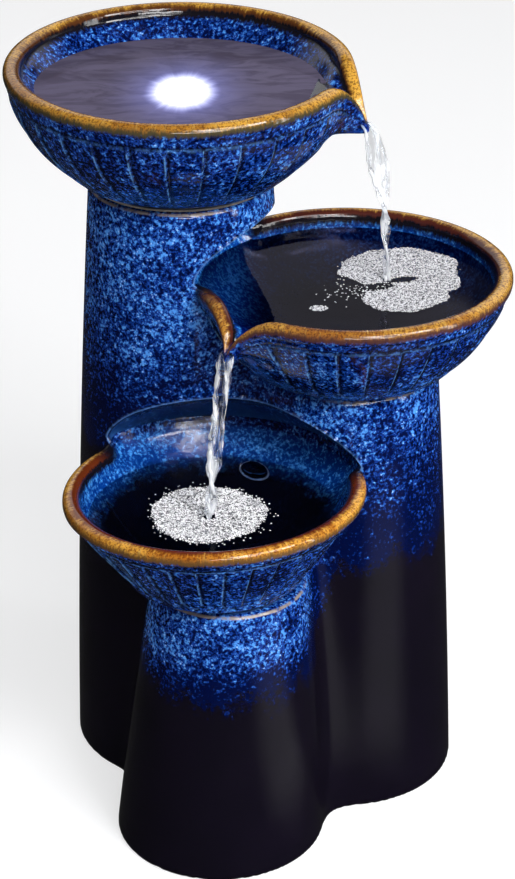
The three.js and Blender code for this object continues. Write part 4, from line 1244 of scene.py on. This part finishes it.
# ---------------------------------------------------------------- the pieces and what they ride on
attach(body, "base")
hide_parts("column_body")
for piece, node, owner in (
    (top_bowl, "top_bowl", "top_bowl"),
    (middle_bowl, "middle_bowl", "base"),
    (lower_bowl, "lower_bowl", "base"),
):
    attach(piece, owner)
    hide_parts(node)
for piece in (top_water, top_tongue):
    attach(piece, "top_bowl")
for piece in (middle_water, middle_tongue, lower_water, lower_stream, lower_foam, middle_foam):
    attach(piece, "base")
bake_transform(upper_stream)

slot_of = {part["node"]: part["material_slot"] for part in frame["record"]["subparts"]}
for name, node in frame["nodes"].items():
    finish = SLOT_FINISHES.get(slot_of.get(name))
    if finish:
        node.data.materials.clear()
        node.data.materials.append(finish)

# ---------------------------------------------------------------- floor and light
POOL_TURN = math.radians(46)  # to the right of the front: where the floor's reflection in the glaze is bright


def straight_rays(f, seen):
    """1 for what the camera sees by itself or through clear water, where the studio is white."""
    return f.math("MAXIMUM", seen.outputs["Is Camera Ray"], seen.outputs["Is Transmission Ray"])


def floor_material():
    """Pale to look at and to light things; the glaze mirrors it dark, with one soft bright sector."""
    f = Finish("floor")
    seen = f.node("ShaderNodeLightPath")
    x, y, _ = f.axes()
    turn = f.math("ARCTAN2", x, f.times(y, -1.0))
    away = f.math("ABSOLUTE", f.minus(turn, POOL_TURN))
    reach = f.length(x, y)
    pool = f.times(f.fit(away, 0.5, 0.1), f.times(f.fit(reach, 0.1, 0.2), f.fit(reach, 0.75, 0.5)))
    mirrored = f.fit(pool, 0, 1, 0.025, 0.5, "LINEAR")
    plain = f.mix(f.noise(3, 2.0), (0.86, 0.86, 0.86, 1), (0.9, 0.9, 0.9, 1))
    tone = f.mix(seen.outputs["Is Glossy Ray"], plain, (0.0, 0.0, 0.0, 1))
    tone = f.mix(seen.outputs["Is Camera Ray"], tone, (0.42, 0.42, 0.43, 1))
    glow = f.plus(f.times(straight_rays(f, seen), 0.66), f.times(seen.outputs["Is Glossy Ray"], mirrored))
    matte = dict(Base_Color=tone, Roughness=0.9, Specular_IOR_Level=0.0)
    return f.principled(**matte, Emission_Color=WHITE, Emission_Strength=glow)


def make_world():
    """White to the camera, a soft even light, and a dim room with a bright back wall to mirror."""
    f = Finish("studio", bpy.data.worlds.new("studio"))
    seen = f.node("ShaderNodeLightPath")
    _, ahead, up = f.axes(f.node("ShaderNodeTexCoord").outputs["Generated"])
    wall = f.times(f.fit(ahead, 0.25, 0.6), f.times(f.fit(up, 0.18, 0.36), f.fit(up, 0.8, 0.62)))
    mirrored = f.plus(f.times(wall, 1.1), 0.03)

    def background(colour, strength):
        return f.node("ShaderNodeBackground", {"Color": colour, "Strength": strength}).outputs[0]

    mirror, room = background(WHITE, mirrored), background((0.93, 0.95, 1.0, 1), 0.17)
    chosen = f.blend(seen.outputs["Is Glossy Ray"], room, mirror)
    chosen = f.blend(straight_rays(f, seen), chosen, background(WHITE, 1.0))
    return f.finish(chosen, "ShaderNodeOutputWorld")


FLOOR_REACH = 9000
floor_corners = [(x * FLOOR_REACH, y * FLOOR_REACH, 0) for x, y in ((-1, -1), (1, -1), (1, 1), (-1, 1))]
floor = make_object("floor", floor_corners, [(0, 1, 2, 3)], False)
floor.data.materials.append(floor_material())
scene.world = make_world()


def area_light(name, place, target, size, power, lights=True, mirrored=True):
    """A soft lamp; lights says whether it lights things, and mirrored whether glossy things show it."""
    data = bpy.data.lights.new(name, "AREA")
    data.shape = "RECTANGLE"
    data.size, data.size_y = size[0] * MM, size[1] * MM
    data.energy = power
    lamp = bpy.data.objects.new(name, data)
    lamp.location = Vector(place) * MM
    lamp.rotation_euler = (Vector(target) - Vector(place)).to_track_quat("-Z", "Y").to_euler()
    lamp.visible_camera = False
    lamp.visible_diffuse = lights
    lamp.visible_glossy = mirrored
    scene.collection.objects.link(lamp)


area_light("key", (800, -1100, 1400), (0, 0, 250), (600, 400), 30, mirrored=False)
area_light("overhead", (260, -1250, 1500), (0, 0, 200), (700, 500), 12, mirrored=False)
area_light("key_card", (800, -1100, 1400), (0, 0, 250), (1300, 700), 60, lights=False)
area_light("front_card", (350, -1500, 760), (0, 0, 250), (900, 200), 11, lights=False)
area_light("strip_right", (1300, -500, 500), (0, 0, 220), (160, 1300), 7)
area_light("back", (0, 1500, 1300), (0, 0, 250), (1200, 500), 6, mirrored=False)
